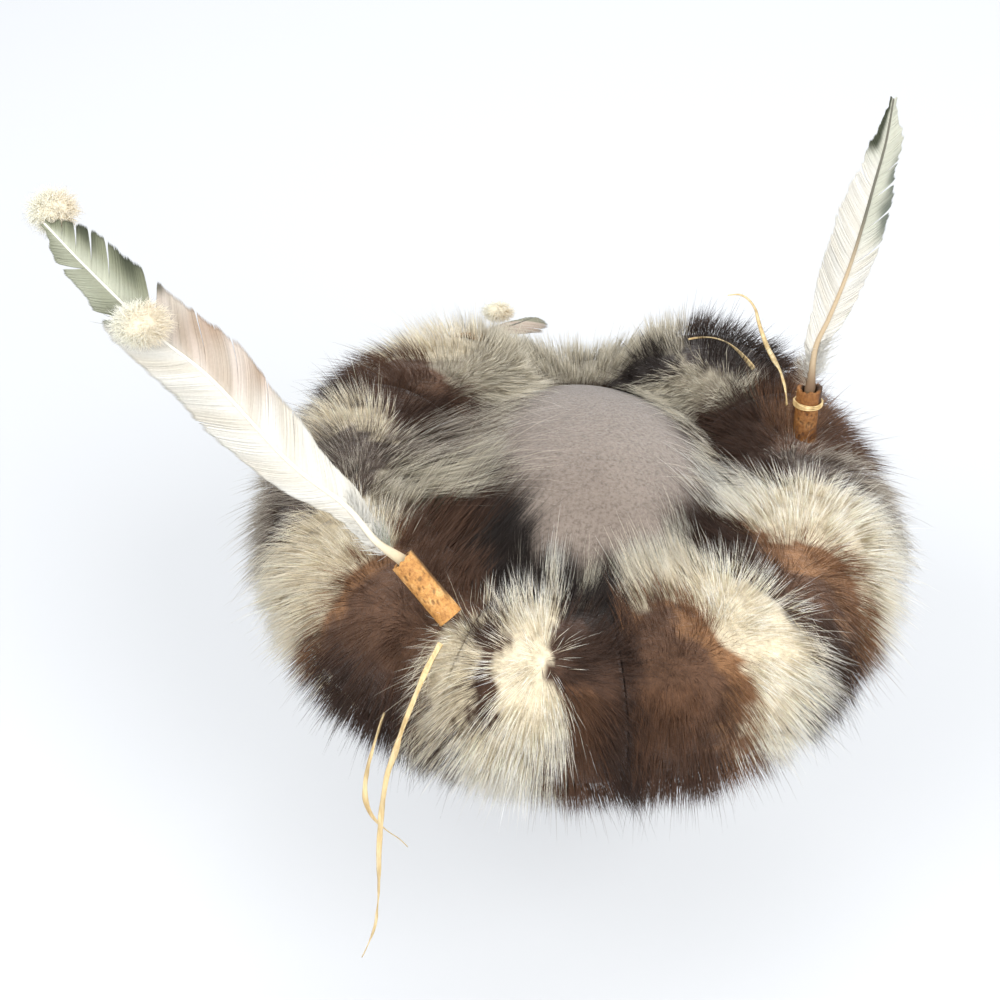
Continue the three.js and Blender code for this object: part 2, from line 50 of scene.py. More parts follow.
TARGET = Vector((-0.036, 0.0, 0.060))
DISTANCE = 1.0
ELEVATION = math.radians(40)

camera_data = bpy.data.cameras.new("camera")
camera_data.lens = 80
camera_data.sensor_width = 36
camera = bpy.data.objects.new("camera", camera_data)
bpy.context.scene.collection.objects.link(camera)
toward_camera = Vector((0, -math.cos(ELEVATION), math.sin(ELEVATION)))
camera.location = TARGET + DISTANCE * toward_camera
camera.rotation_euler = toward_camera.to_track_quat("Z", "Y").to_euler()
bpy.context.scene.camera = camera


# ---- the part's own sizes, in mm

CROWN = {"half_width": 84, "half_depth": 91, "height": 99, "wall": 2.5, "side": 26}
ROLL = {"x": 107, "y": 105, "z": 38, "half_width": 33, "half_height": 40, "lean": 30, "clear": 1.9}
CLEFT = 0.13

# Lobes of the roll: name, bearing from and to, rise, girth, push, record slot.
LOBES = [
    ("fur_front_left", -117, -83, -1, 0.98, 3, "fur_cream"),
    ("fur_front", -83, -44, -1, 1.05, 3, "fur_dark"),
    ("fur_front_right", -44, -6, 1, 1.0, 1, "fur_cream"),
    ("fur_right", -6, 32, 2, 1.0, 0, "fur_brown"),
    ("fur_back_right", 32, 74, 13, 1.03, 1, "fur_dark"),
    ("fur_back", 74, 106, -9, 0.88, -3, "fur_brown"),
    ("fur_back_left", 106, 146, 11, 1.03, 0, "fur_grey"),
    ("fur_left", 146, 194, 7, 1.03, 1, "fur_dark"),
    ("fur_side_left", 194, 243, 0, 1.02, 0, "fur_brown"),
]

TUBE = {"length": 31, "radius": 5.6}
QUILL = 2.5
QUILL_SUNK = 24

# The routes of the raffia ends, from the fur to each loose end.
TIES = {
    "raffia_left_long": [
        (-60, -114, 80), (-66, -122, 72), (-71, -128, 61.5), (-75.5, -132, 50), (-79, -134, 37.5),
        (-82.5, -134, 25), (-84.5, -134, 12.5), (-86, -134, 0), (-87, -133, -13), (-88, -132.5, -26),
        (-88.5, -131.5, -39), (-89, -131, -52), (-90, -130, -65), (-91.5, -129.5, -78),
        (-94.5, -128.5, -90.5), (-98.5, -128, -103)],
    "raffia_left_short": [
        (-84, -119, 45), (-86, -121.5, 40), (-87.5, -123.5, 34.5), (-89, -125, 29), (-90.5, -126, 23.5),
        (-91.5, -126, 18), (-92.5, -126, 12), (-93, -126, 6), (-93, -126, 0), (-92, -126, -6),
        (-90, -126, -11.5), (-87, -126, -16.5), (-83.5, -126, -21), (-79.5, -126, -25), (-76, -126, -30)],
    "raffia_right_long": [
        (94, 34, 88), (94, 39.5, 89.5), (94, 44.5, 90.5), (93.5, 50, 91), (92.5, 55.5, 92),
        (91, 60.5, 92.5), (89.5, 66, 93), (88, 71, 94), (87, 76, 95), (86, 81.5, 96), (85, 86.5, 98),
        (84, 91, 100.5), (81, 94.5, 103.5), (76.5, 96, 105.5), (71, 96, 105)],
    "raffia_right_short": [
        (81, 58, 90.5), (79.5, 60.4, 91.3), (78, 62.7, 92), (76.5, 64.9, 92.6), (75, 67, 93.2),
        (73.3, 69, 93.8), (71.5, 70.8, 94.3), (69.5, 72.4, 94.7), (67.3, 73.8, 94.9), (65, 75, 95),
        (62.5, 76, 94.9), (60, 76.7, 94.6), (57.3, 77.2, 94.2), (54.6, 77.5, 93.6), (52, 77.5, 93)],
}


# ---- small helpers


def linear(colour):
    """A colour given as sRGB from 0 to 255, as linear values from 0 to 1."""
    c = np.asarray(colour, float) / 255
    return np.where(c <= 0.04045, c / 12.92, ((c + 0.055) / 1.055) ** 2.4)


def unit(v):
    return v / np.maximum(np.linalg.norm(v, axis=-1, keepdims=True), LITTLE)


def smooth(x):
    x = np.clip(x, 0, 1)
    return x * x * (3 - 2 * x)


def ripple(p, size, seed):
    """Smooth noise from -1 to 1 at points p, with features of about the given size."""
    rng = np.random.default_rng(seed)
    total = np.zeros(len(p))
    for _ in range(7):
        wave = rng.normal(0, 1, p.shape[1])
        wave *= rng.uniform(0.7, 1.6) * 2 * PI / (2.2 * size) / np.linalg.norm(wave)
        total += np.sin(p @ wave + rng.uniform(0, 2 * PI))
    return np.clip(total / 3.4, -1, 1)


def make_mesh(name, points, faces, colours=None):
    """A mesh object from points in mm, faces as rows of corner numbers, and a colour a point."""
    mesh = bpy.data.meshes.new(name)
    points = np.asarray(points, np.float32) * MM
    faces = [np.asarray(f, np.int32) for f in (faces if isinstance(faces, list) else [faces])]
    corners = np.concatenate([f.ravel() for f in faces])
    sizes = np.concatenate([np.full(len(f), f.shape[1]) for f in faces])
    mesh.vertices.add(len(points))
    mesh.vertices.foreach_set("co", points.ravel())
    mesh.loops.add(len(corners))
    mesh.loops.foreach_set("vertex_index", corners)
    mesh.polygons.add(len(sizes))
    starts = np.concatenate([[0], np.cumsum(sizes)[:-1]])
    mesh.polygons.foreach_set("loop_start", starts.astype(np.int32))
    mesh.polygons.foreach_set("loop_total", sizes.astype(np.int32))
    mesh.update(calc_edges=True)
    mesh.shade_smooth()
    if colours is not None:
        layer = mesh.color_attributes.new("tint", "FLOAT_COLOR", "POINT")
        full = np.ones((len(points), 4), np.float32)
        full[:, :3] = colours
        layer.data.foreach_set("color", full.ravel())
    mesh.validate()
    piece = bpy.data.objects.new(name, mesh)
    bpy.context.scene.collection.objects.link(piece)
    return piece


def join_parts(parts):
    """Several (points, faces, colours) as one."""
    points, faces, colours, start = [], [], [], 0
    for p, f, c in parts:
        points.append(p)
        colours.append(np.broadcast_to(c, (len(p), 3)))
        faces += [g + start for g in (f if isinstance(f, list) else [f])]
        start += len(p)
    return np.concatenate(points), faces, np.concatenate(colours)


def grid_faces(rows, columns):
    """Quads over a grid of points, wrapped round in its columns."""
    i, j = np.meshgrid(np.arange(rows - 1), np.arange(columns), indexing="ij")
    i, j = i.ravel(), j.ravel()
    k = (j + 1) % columns
    return np.stack([i * columns + j, i * columns + k, (i + 1) * columns + k, (i + 1) * columns + j], 1)


def closed_faces(rows, columns):
    """Faces over a stack of rings, with a flat face at each end."""
    cap = np.arange(columns)
    last = (rows - 1) * columns
    return [grid_faces(rows, columns)[:, ::-1], cap[None], (last + cap)[None, ::-1]]


def strands(lines, radii, colours, sides=3, flat=1.0, turn=None):
    """Closed tapered strands. lines is strand by point by xyz; the first and last points are tips.

    radii and colours are given at the points between, and flat squashes the section.
    """
    count, stops = lines.shape[:2]
    along = unit(np.gradient(lines, axis=1))
    if turn is None:
        turn = np.random.default_rng(5).normal(0, 1, (count, 3))
    first = unit(np.cross(along, turn[:, None, :]))
    second = np.cross(along, first)
    around = 2 * PI * np.arange(sides) / sides
    rings = stops - 2
    inner = lines[:, 1:-1, None, :]
    wide = first[:, 1:-1, None, :] * np.cos(around)[None, None, :, None]
    thin = second[:, 1:-1, None, :] * np.sin(around)[None, None, :, None] * flat
    body = inner + radii[:, :, None, None] * (wide + thin)
    each = rings * sides + 2
    points = np.empty((count, each, 3))
    points[:, 0] = lines[:, 0]
    points[:, 1:-1] = body.reshape(count, rings * sides, 3)
    points[:, -1] = lines[:, -1]
    tints = np.empty((count, each, 3))
    tints[:, 0] = colours[:, 0]
    tints[:, 1:-1] = np.repeat(colours[:, 1:-1], sides, axis=1)
    tints[:, -1] = colours[:, -1]
    k = np.arange(sides)
    n = (k + 1) % sides
    pattern = [np.stack([np.zeros_like(k), 1 + n, 1 + k], 1)]
    for ring in range(rings - 1):
        a, b = 1 + ring * sides, 1 + (ring + 1) * sides
        pattern += [np.stack([a + k, a + n, b + n], 1), np.stack([a + k, b + n, b + k], 1)]
    last = 1 + (rings - 1) * sides
    pattern.append(np.stack([last + k, last + n, np.full_like(k, each - 1)], 1))
    pattern = np.concatenate(pattern)
    faces = (pattern[None] + each * np.arange(count)[:, None, None]).reshape(-1, 3)
    return points.reshape(-1, 3), faces, tints.reshape(-1, 3)


# ---- materials


class Nodes:
    """Short calls for building a material's nodes."""

    def __init__(self, name):
        self.material = bpy.data.materials.new(name)
        self.material.use_nodes = True
        self.tree = self.material.node_tree
        self.shader = self.tree.nodes["Principled BSDF"]
        self.output = self.tree.nodes["Material Output"]

    def add(self, kind, **values):
        node = self.tree.nodes.new(kind)
        for key, value in values.items():
            if key in node.inputs:
                node.inputs[key].default_value = value
            else:
                setattr(node, key, value)
        return node

    def link(self, a, b):
        self.tree.links.new(a, b)

    def place(self):
        return self.add("ShaderNodeTexCoord").outputs["Object"]

    def noise(self, scale, detail=3.0, roughness=0.5, stretch=None):
        node = self.add("ShaderNodeTexNoise", Scale=scale, Detail=detail, Roughness=roughness)
        where = self.place()
        if stretch:
            mapping = self.add("ShaderNodeMapping", Scale=stretch)
            self.link(where, mapping.inputs["Vector"])
            where = mapping.outputs["Vector"]
        self.link(where, node.inputs["Vector"])
        return node.outputs["Fac"]

    def ramp(self, factor, stops):
        node = self.add("ShaderNodeValToRGB")
        band = node.color_ramp
        while len(band.elements) < len(stops):
            band.elements.new(0.5)
        for element, (position, colour) in zip(band.elements, stops):
            element.position = position
            element.color = (*linear(colour), 1)
        self.link(factor, node.inputs["Fac"])
        return node.outputs["Color"]

    def tint(self):
        return self.add("ShaderNodeVertexColor", layer_name="tint").outputs["Color"]

    def mix(self, factor, a, b, blend="MIX"):
        node = self.add("ShaderNodeMix", data_type="RGBA", blend_type=blend)
        for index, value in ((0, factor), (6, a), (7, b)):
            if isinstance(value, (int, float)):
                node.inputs[index].default_value = value
            elif isinstance(value, (tuple, list, np.ndarray)):
                node.inputs[index].default_value = (*value, 1)
            else:
                self.link(value, node.inputs[index])
        return node.outputs[2]

    def bump(self, height, distance, strength=1.0):
        node = self.add("ShaderNodeBump", Distance=distance, Strength=strength)
        self.link(height, node.inputs["Height"])
        self.link(node.outputs["Normal"], self.shader.inputs["Normal"])

    def colour(self, socket):
        self.link(socket, self.shader.inputs["Base Color"])

    def set(self, **values):
        for key, value in values.items():
            self.shader.inputs[key.replace("_", " ")].default_value = value


def hair_material(name, see_through, rough, shine):
    """Hairs take their colour from the points, and let some light through."""
    m = Nodes(name)
    pale = m.ramp(m.noise(900, 2), [(0.3, (228, 224, 220)), (0.7, (255, 255, 255))])
    varied = m.mix(0.25, m.tint(), pale, "MULTIPLY")
    m.colour(varied)
    m.set(Roughness=rough, Specular_IOR_Level=shine)
    glow = m.add("ShaderNodeBsdfTranslucent")
    m.link(varied, glow.inputs["Color"])
    both = m.add("ShaderNodeMixShader")
    both.inputs[0].default_value = see_through
    m.link(m.shader.outputs["BSDF"], both.inputs[1])
    m.link(glow.outputs["BSDF"], both.inputs[2])
    m.link(both.outputs["Shader"], m.output.inputs["Surface"])
    return m.material


def felt_material():
    m = Nodes("felt")
    blotch = m.ramp(m.noise(28, 4, 0.6), [(0.3, (128, 117, 108)), (0.7, (143, 132, 122))])
    specks = [(0.36, (150, 143, 138)), (0.5, (232, 228, 226)), (0.66, (255, 255, 255))]
    speck = m.ramp(m.noise(620, 4, 0.75), specks)
    m.colour(m.mix(0.6, blotch, speck, "MULTIPLY"))
    m.set(Roughness=0.95, Specular_IOR_Level=0.1, Sheen_Weight=0.35, Sheen_Roughness=0.3)
    m.set(Sheen_Tint=(0.9, 0.95, 1.0, 1))
    m.bump(m.noise(700, 5, 0.75), 0.0012, 1.0)
    return m.material


def wood_material():
    m = Nodes("wood")
    patches = [(0.25, (150, 104, 54)), (0.5, (186, 138, 78)), (0.75, (214, 176, 122))]
    patch = m.ramp(m.noise(150, 5, 0.65), patches)
    fleck = m.ramp(m.noise(900, 5, 0.7), [(0.3, (150, 112, 76)), (0.55, (255, 250, 240))])
    m.colour(m.mix(1.0, m.mix(0.7, patch, fleck, "MULTIPLY"), m.tint(), "MULTIPLY"))
    m.set(Roughness=0.62, Specular_IOR_Level=0.35)
    m.bump(m.noise(700, 6, 0.7), 0.0006, 0.8)
    return m.material


def raffia_material():
    m = Nodes("raffia")
    tones = [(0.3, (178, 148, 98)), (0.55, (214, 192, 146)), (0.8, (234, 218, 182))]
    fibre = m.ramp(m.noise(420, 4, 0.6, (1, 1, 0.12)), tones)
    m.colour(m.mix(1.0, fibre, m.tint(), "MULTIPLY"))
    m.set(Roughness=0.6, Specular_IOR_Level=0.35)
    m.bump(m.noise(700, 3, 0.6, (1, 1, 0.1)), 0.0003, 0.7)
    return m.material


def under_material():
    m = Nodes("underfur")
    mottle = m.ramp(m.noise(260, 5, 0.7), [(0.3, (120, 112, 106)), (0.7, (255, 255, 255))])
    m.colour(m.mix(0.6, m.tint(), mottle, "MULTIPLY"))
    m.set(Roughness=0.95, Specular_IOR_Level=0.1, Sheen_Weight=0.3)
    m.bump(m.noise(420, 4, 0.7), 0.0015, 0.9)
    return m.material


FUR = hair_material("fur", see_through=0.36, rough=0.45, shine=0.4)
DOWN = hair_material("down", see_through=0.4, rough=0.8, shine=0.1)
VANE = hair_material("vane", see_through=0.25, rough=0.5, shine=0.25)
FELT = felt_material()
WOOD = wood_material()
RAFFIA = raffia_material()
UNDERFUR = under_material()


def dress(piece, material, slot, *nodes):
    """Gives a piece its material, hangs it on the root body and hides the CAD nodes that it stands for. The
    slot is not used.
    """
    piece.data.materials.append(material)
    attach(piece, "root")
    if nodes:
        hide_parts(*nodes)
    return piece


# ---- raffia ends


def catmull(points, count):
    """Points evenly along a smooth line through the given ones."""
    p = np.asarray(points, float)
    p = np.concatenate([[2 * p[0] - p[1]], p, [2 * p[-1] - p[-2]]])
    fine = []
    t = np.linspace(0, 1, 24, endpoint=False)[:, None]
    for a, b, c, d in zip(p, p[1:], p[2:], p[3:]):
        curve = 2 * b + (c - a) * t
        curve = curve + (2 * a - 5 * b + 4 * c - d) * t**2
        curve = curve + (3 * b - a - 3 * c + d) * t**3
        fine.append(0.5 * curve)
    fine = np.concatenate(fine + [[p[-2]]])
    run = np.concatenate([[0], np.cumsum(np.linalg.norm(np.diff(fine, axis=0), axis=1))])
    at = np.linspace(0, run[-1], count)
    return np.stack([np.interp(at, run, fine[:, k]) for k in range(3)], 1), run[-1]


TIE_WIDTH = 3.0

# Section of a strip: across it and out of it, in half-widths.
TIE_SECTION = [(-1.0, 0.0), (-0.55, 0.24), (0.0, 0.4), (0.5, 0.2), (1.0, -0.12), (0.5, -0.16),
               (0.0, 0.02), (-0.5, -0.12)]
TIE_DEPTH = 1.15


def raffia_end(name, route):
    """A dry raffia strip: folded in a shallow trough, twisted, and thinner at its loose end."""
    line, length = catmull(route, max(40, int(len(route) * 6)))
    seed = len(name) + int(length)
    share = np.linspace(0, 1, len(line))
    along = unit(np.gradient(line, axis=0))
    side = unit(np.cross(along, np.array([0.25, 1.0, 0.35])))
    face = np.cross(side, along)
    twist = 1.2 * ripple(line, 38, seed) + 0.5 * ripple(line, 13, seed + 1)
    across = side * np.cos(twist)[:, None] + face * np.sin(twist)[:, None]
    over = np.cross(across, along)
    half = 0.5 * TIE_WIDTH * (1 - 0.6 * share**3) * (0.86 + 0.14 * ripple(line, 9, seed + 2))
    fold = 1 + 0.3 * ripple(line, 11, seed + 3)
    loops = []
    for u, v in TIE_SECTION:
        loops.append(line + across * (u * half)[:, None] + over * (v * TIE_DEPTH * half * fold)[:, None])
    points = np.stack(loops, 1).reshape(-1, 3)
    faces = [rows[:, ::-1] for rows in closed_faces(len(line), len(TIE_SECTION))]
    tone = 0.9 + 0.14 * ripple(points, 7, seed + 4)
    colours = tone[:, None] * np.array([1.0, 0.98, 0.95])
    piece = make_mesh(name + "_strip", points, faces, np.clip(colours, 0, 1))
    dress(piece, RAFFIA, "raffia", name)
    return piece


for tie_name, tie_route in TIES.items():
    raffia_end(tie_name, tie_route)


# ---- form of the crown and the roll


def crown_radius(z, angle):
    taper = 1 - 0.03 * np.clip(z / CROWN["side"], 0, 1)
    up = np.clip((z - CROWN["side"]) / (CROWN["height"] - CROWN["side"]), 0, 1)
    share = taper * np.sqrt(1 - up * up)
    return share / np.hypot(np.cos(angle) / CROWN["half_width"], np.sin(angle) / CROWN["half_depth"])


def crown_top(x, y):
    """Height of the dome over a point, or a very low value outside it."""
    out = np.hypot(x / CROWN["half_width"], y / CROWN["half_depth"]) / 0.97
    rise = np.sqrt(np.clip(1 - out**2, 0, 1))
    return np.where(out < 1, CROWN["side"] + (CROWN["height"] - CROWN["side"]) * rise, -500.0)


MIDDLES = np.array([(lobe[1] + lobe[2]) / 2 for lobe in LOBES], float)
SPANS = np.array([lobe[2] - lobe[1] for lobe in LOBES], float)
FORMS = np.array([[lobe[3], lobe[4], lobe[5]] for lobe in LOBES], float)


def roll_form(bearing):
    """Rise, girth and push at bearings in degrees."""
    ring = np.concatenate([MIDDLES - 360, MIDDLES, MIDDLES + 360])
    forms = np.concatenate([FORMS, FORMS, FORMS])
    after = np.clip(np.searchsorted(ring, bearing), 1, len(ring) - 1)
    t = smooth((bearing - ring[after - 1]) / (ring[after] - ring[after - 1]))[:, None]
    return forms[after - 1] * (1 - t) + forms[after] * t


def roll_point(bearing, turn, scale):
    """Points on the roll's skin, at bearings round it and turns round its section, in degrees."""
    rise, girth, push = roll_form(bearing).T
    angle, around = np.radians(bearing), np.radians(turn)
    inward = np.maximum(0, np.sin(around)) * (1 - np.cos(around)) * 0.5
    size = girth * scale
    z = ROLL["z"] + rise + ROLL["half_height"] * size * np.sin(around)
    r = 1 / np.hypot(np.cos(angle) / ROLL["x"], np.sin(angle) / ROLL["y"]) + push
    r = r + ROLL["half_width"] * size * np.cos(around) - ROLL["lean"] * inward
    r = np.maximum(r, crown_radius(np.maximum(z - ROLL["clear"], 0), angle) + ROLL["clear"])
    return np.stack([r * np.cos(angle), r * np.sin(angle), z], 1)


# ---- fur colours

# Each kind of fur: colours near the root, at the middle and at the tip.
FURS = {
    "cream": ((226, 212, 182), (238, 228, 206), (248, 243, 230)),
    "white": ((240, 226, 196), (250, 243, 226), (254, 251, 244)),
    "grey": ((176, 166, 146), (202, 194, 174), (228, 222, 206)),
    "grizzle": ((96, 82, 72), (120, 106, 94), (236, 228, 212)),
    "dark": ((86, 62, 48), (72, 50, 38), (52, 37, 29)),
    "soot": ((60, 47, 40), (50, 40, 35), (44, 36, 32)),
    "brown": ((112, 82, 62), (102, 73, 55), (74, 52, 40)),
    "chestnut": ((112, 80, 58), (106, 74, 52), (82, 57, 43)),
    "ginger": ((160, 118, 82), (140, 100, 70), (102, 72, 52)),
}
FUR_NAMES = list(FURS)
FUR_TINTS = np.array([[linear(c) for c in FURS[name]] for name in FUR_NAMES])

# The patches of the pelt, later rows over earlier ones: bearing from and to, turn from and to.
PATCHES = [
    (-180, -169, -180, 180, "grizzle"),
    (-169, -145, -180, 180, "cream"),
    (-145, -120, -180, 180, "brown"),
    (-120, -112.5, -180, 180, "cream"),
    (-112.5, -107.5, -180, 180, "dark"),
    (-107.5, -96.5, -180, 180, "white"),
    (-96.5, -80, -180, 180, "dark"),
    (-80, -61, -180, 180, "brown"),
    (-61, -45, -180, 180, "white"),
    (-45, -38, -180, 180, "grizzle"),
    (-38, -27, -180, 180, "brown"),
    (-27, -4, -180, 180, "white"),
    (-4, 10, -180, 180, "grizzle"),
    (10, 34, -180, 180, "brown"),
    (34, 60, -180, 180, "dark"),
    (60, 106, -180, 180, "grey"),
    (106, 137, -180, 180, "grey"),
    (137, 158, -180, 180, "brown"),
    (158, 180, -180, 180, "grizzle"),
    (-143, -121, -180, 22, "dark"),
    (-148, -144, -20, 90, "ginger"),
    (-142, -128, 30, 66, "brown"),
    (-116, -110, -180, 18, "dark"),
    (-112.5, -107, -180, 18, "white"),
    (-96.5, -89, -180, 44, "chestnut"),
    (-80, -72, 10, 46, "chestnut"),
    (-66, -60, -60, 82, "ginger"),
    (-80, -61, 84, 96, "ginger"),
    (-62, -56, -180, -24, "brown"),
    (-46, -33, -180, 30, "dark"),
    (-44, -39, 30, 90, "dark"),
    (-33, -26, -60, 106, "ginger"),
    (20, 30, 30, 92, "ginger"),
    (120, 137, -180, 84, "cream"),
    (150, 156, 30, 74, "soot"),
    (157, 168, 40, 104, "cream"),
    (168, 180, 40, 84, "grizzle"),
    (-180, -150, 92, 180, "grey"),
    (-158, -116, 84, 180, "brown"),
    (-138, -116, 104, 180, "soot"),
    (-154, -140, 120, 180, "dark"),
    (-116, -80, 88, 180, "soot"),
    (-112, -97, 76, 104, "white"),
    (-104, -100, 104, 136, "white"),
    (-93, -88, 104, 150, "grey"),
    (-116, -106, 140, 180, "grizzle"),
    (-78, -56, 88, 180, "cream"),
    (-58, -46, 112, 180, "cream"),
    (-46, -28, 84, 180, "dark"),
    (-30, -6, 124, 180, "dark"),
    (-26, -2, 92, 124, "white"),
    (-8, 34, 124, 180, "cream"),
    (-4, 34, 92, 124, "dark"),
    (34, 62, 92, 180, "grey"),
    (40, 60, 60, 92, "soot"),
    (52, 82, 98, 120, "soot"),
    (62, 104, 118, 180, "soot"),
    (78, 100, 104, 128, "brown"),
    (104, 140, 86, 180, "grey"),
    (138, 166, 84, 142, "dark"),
    (137, 150, 60, 140, "brown"),
    (158, 180, 104, 132, "grizzle"),
    (118, 180, 138, 180, "cream"),
    (-180, -164, 128, 180, "cream"),
]


def fur_kind(bearing, turn):
    """The kind of fur at points of the roll, as rows of FUR_TINTS. The patches have wavy edges."""
    spot = np.stack([bearing * 1.9, turn * 0.6], 1)
    bearing = bearing + 3.0 * ripple(spot, 22, 3) + 1.4 * ripple(spot, 7, 4)
    turn = turn + 9.0 * ripple(spot, 20, 5)
    bearing = (bearing + 180) % 360 - 180
    kind = np.zeros(len(bearing), int)
    for low, high, under, over, name in PATCHES:
        inside = (bearing >= low) & (bearing < high) & (turn >= under) & (turn <= over)
        kind[inside] = FUR_NAMES.index(name)
    return kind


# ---- lie of the fur

# How hairs set off, by turn from the parting: outward and upward share at the root.
LIE = [
    (-170, 0.3, -0.9), (-130, 0.7, -0.6), (-95, 0.85, -0.35), (-60, 0.9, -0.12), (-35, 0.85, 0.25),
    (-18, 0.55, 0.75), (0, 0.0, 1.0), (15, -0.55, 0.85), (35, -0.85, 0.55), (60, -0.9, 0.5),
    (100, -0.6, 0.8),
]
PARTING_FRONT = 74
PARTING_BACK = 88

# Whorls, where the fur turns out from one point: bearing, turn, reach in mm, strength.
WHORLS = [(-99.5, 66, 26, 1.0), (-54, 84, 18, 0.5), (-119, 74, 16, 0.5), (15, 80, 22, 0.5)]

CLUMPS_A_DEGREE = 900 / 40

# The two kinds of hair: number in a clump, where its points lie along it, thickness at the points
# between its ends, share of the full length, radius in mm, how far it lies as its clump does, and
# how far its tip is drawn to the middle of the clump's.
HAIRS = [
    {"count": 11, "steps": (0, 0.42, 1), "taper": (1,), "length": 1.0, "radius": 0.105, "follow": 0.35,
     "gather": 0.22},
    {"count": 1, "steps": (0, 0.25, 0.5, 0.75, 1), "taper": (1, 0.775, 0.55), "length": 1.4, "radius": 0.08,
     "follow": 0.2, "gather": 0.1},
]

# Length of the fur in mm: plain, then what is added on its inner side, at the far left and right.
FUR_LENGTH = {"plain": 19, "inner": -2, "left": 34, "right": 12}

# Where hairs and the underfur lie, as a share of the way out to the roll's skin.
ROOT_DEPTH = 0.86
UNDERFUR_DEPTH = 0.88


def lie_of_fur(bearing, turn, mate):
    """Directions in which hairs leave the skin, from their bearing, turn and seeded jitter."""
    angle = np.radians(bearing)
    outward = np.stack([np.cos(angle), np.sin(angle), np.zeros_like(angle)], 1)
    sideways = np.stack([-np.sin(angle), np.cos(angle), np.zeros_like(angle)], 1)
    up = np.array([0.0, 0.0, 1.0])
    back = 0.5 * (1 + np.sin(angle))
    parting = PARTING_FRONT + (PARTING_BACK - PARTING_FRONT) * back
    from_parting = turn - parting
    table = np.array(LIE)
    out = np.interp(from_parting, table[:, 0], table[:, 1])
    rise = np.interp(from_parting, table[:, 0], table[:, 2])
    way = outward * out[:, None] + up * rise[:, None]
    lobe = np.argmin(np.abs((bearing[:, None] - MIDDLES[None] + 180) % 360 - 180), axis=1)
    fan = ((bearing - MIDDLES[lobe] + 180) % 360 - 180) / (0.5 * SPANS[lobe])
    way = way + sideways * (0.45 * fan)[:, None]
    for where, at, reach, strength in WHORLS:
        u = np.radians((bearing - where + 180) % 360 - 180) * 115
        v = np.radians(turn - at) * 36
        distance = np.hypot(u, v)
        pull = strength * np.exp(-((distance / reach) ** 2))
        radial = sideways * (u / (distance + 3))[:, None]
        around = np.radians(turn)
        rounded = outward * -np.sin(around)[:, None] + up * np.cos(around)[:, None]
        radial = radial + rounded * (v / (distance + 3))[:, None]
        normal = outward * np.cos(around)[:, None] + up * np.sin(around)[:, None]
        way = way * (1 - pull)[:, None] + (radial + 0.6 * normal) * pull[:, None]
    return unit(unit(way) + mate)


def keep_off_dome(points, gap):
    """Lifts points that would sink into the felt."""
    top = crown_top(points[..., 0], points[..., 1])
    lift = (top + gap > points[..., 2]) & (points[..., 2] > 30)
    points[..., 2] = np.where(lift, top + gap, points[..., 2])
    return points


def fur_length(bearing, turn):
    """Length of the hairs in mm, longest where they lie over the dome from the left."""
    inner = smooth((turn - 95) / 30) * smooth((150 - turn) / 20)
    left = np.clip(-np.cos(np.radians(bearing)), 0, 1)
    right = np.clip(np.cos(np.radians(bearing)), 0, 1)
    under = 0.62 + 0.38 * smooth((turn + 60) / 80)
    added = FUR_LENGTH["inner"] + FUR_LENGTH["left"] * left + FUR_LENGTH["right"] * right
    return (FUR_LENGTH["plain"] + inner * added) * under


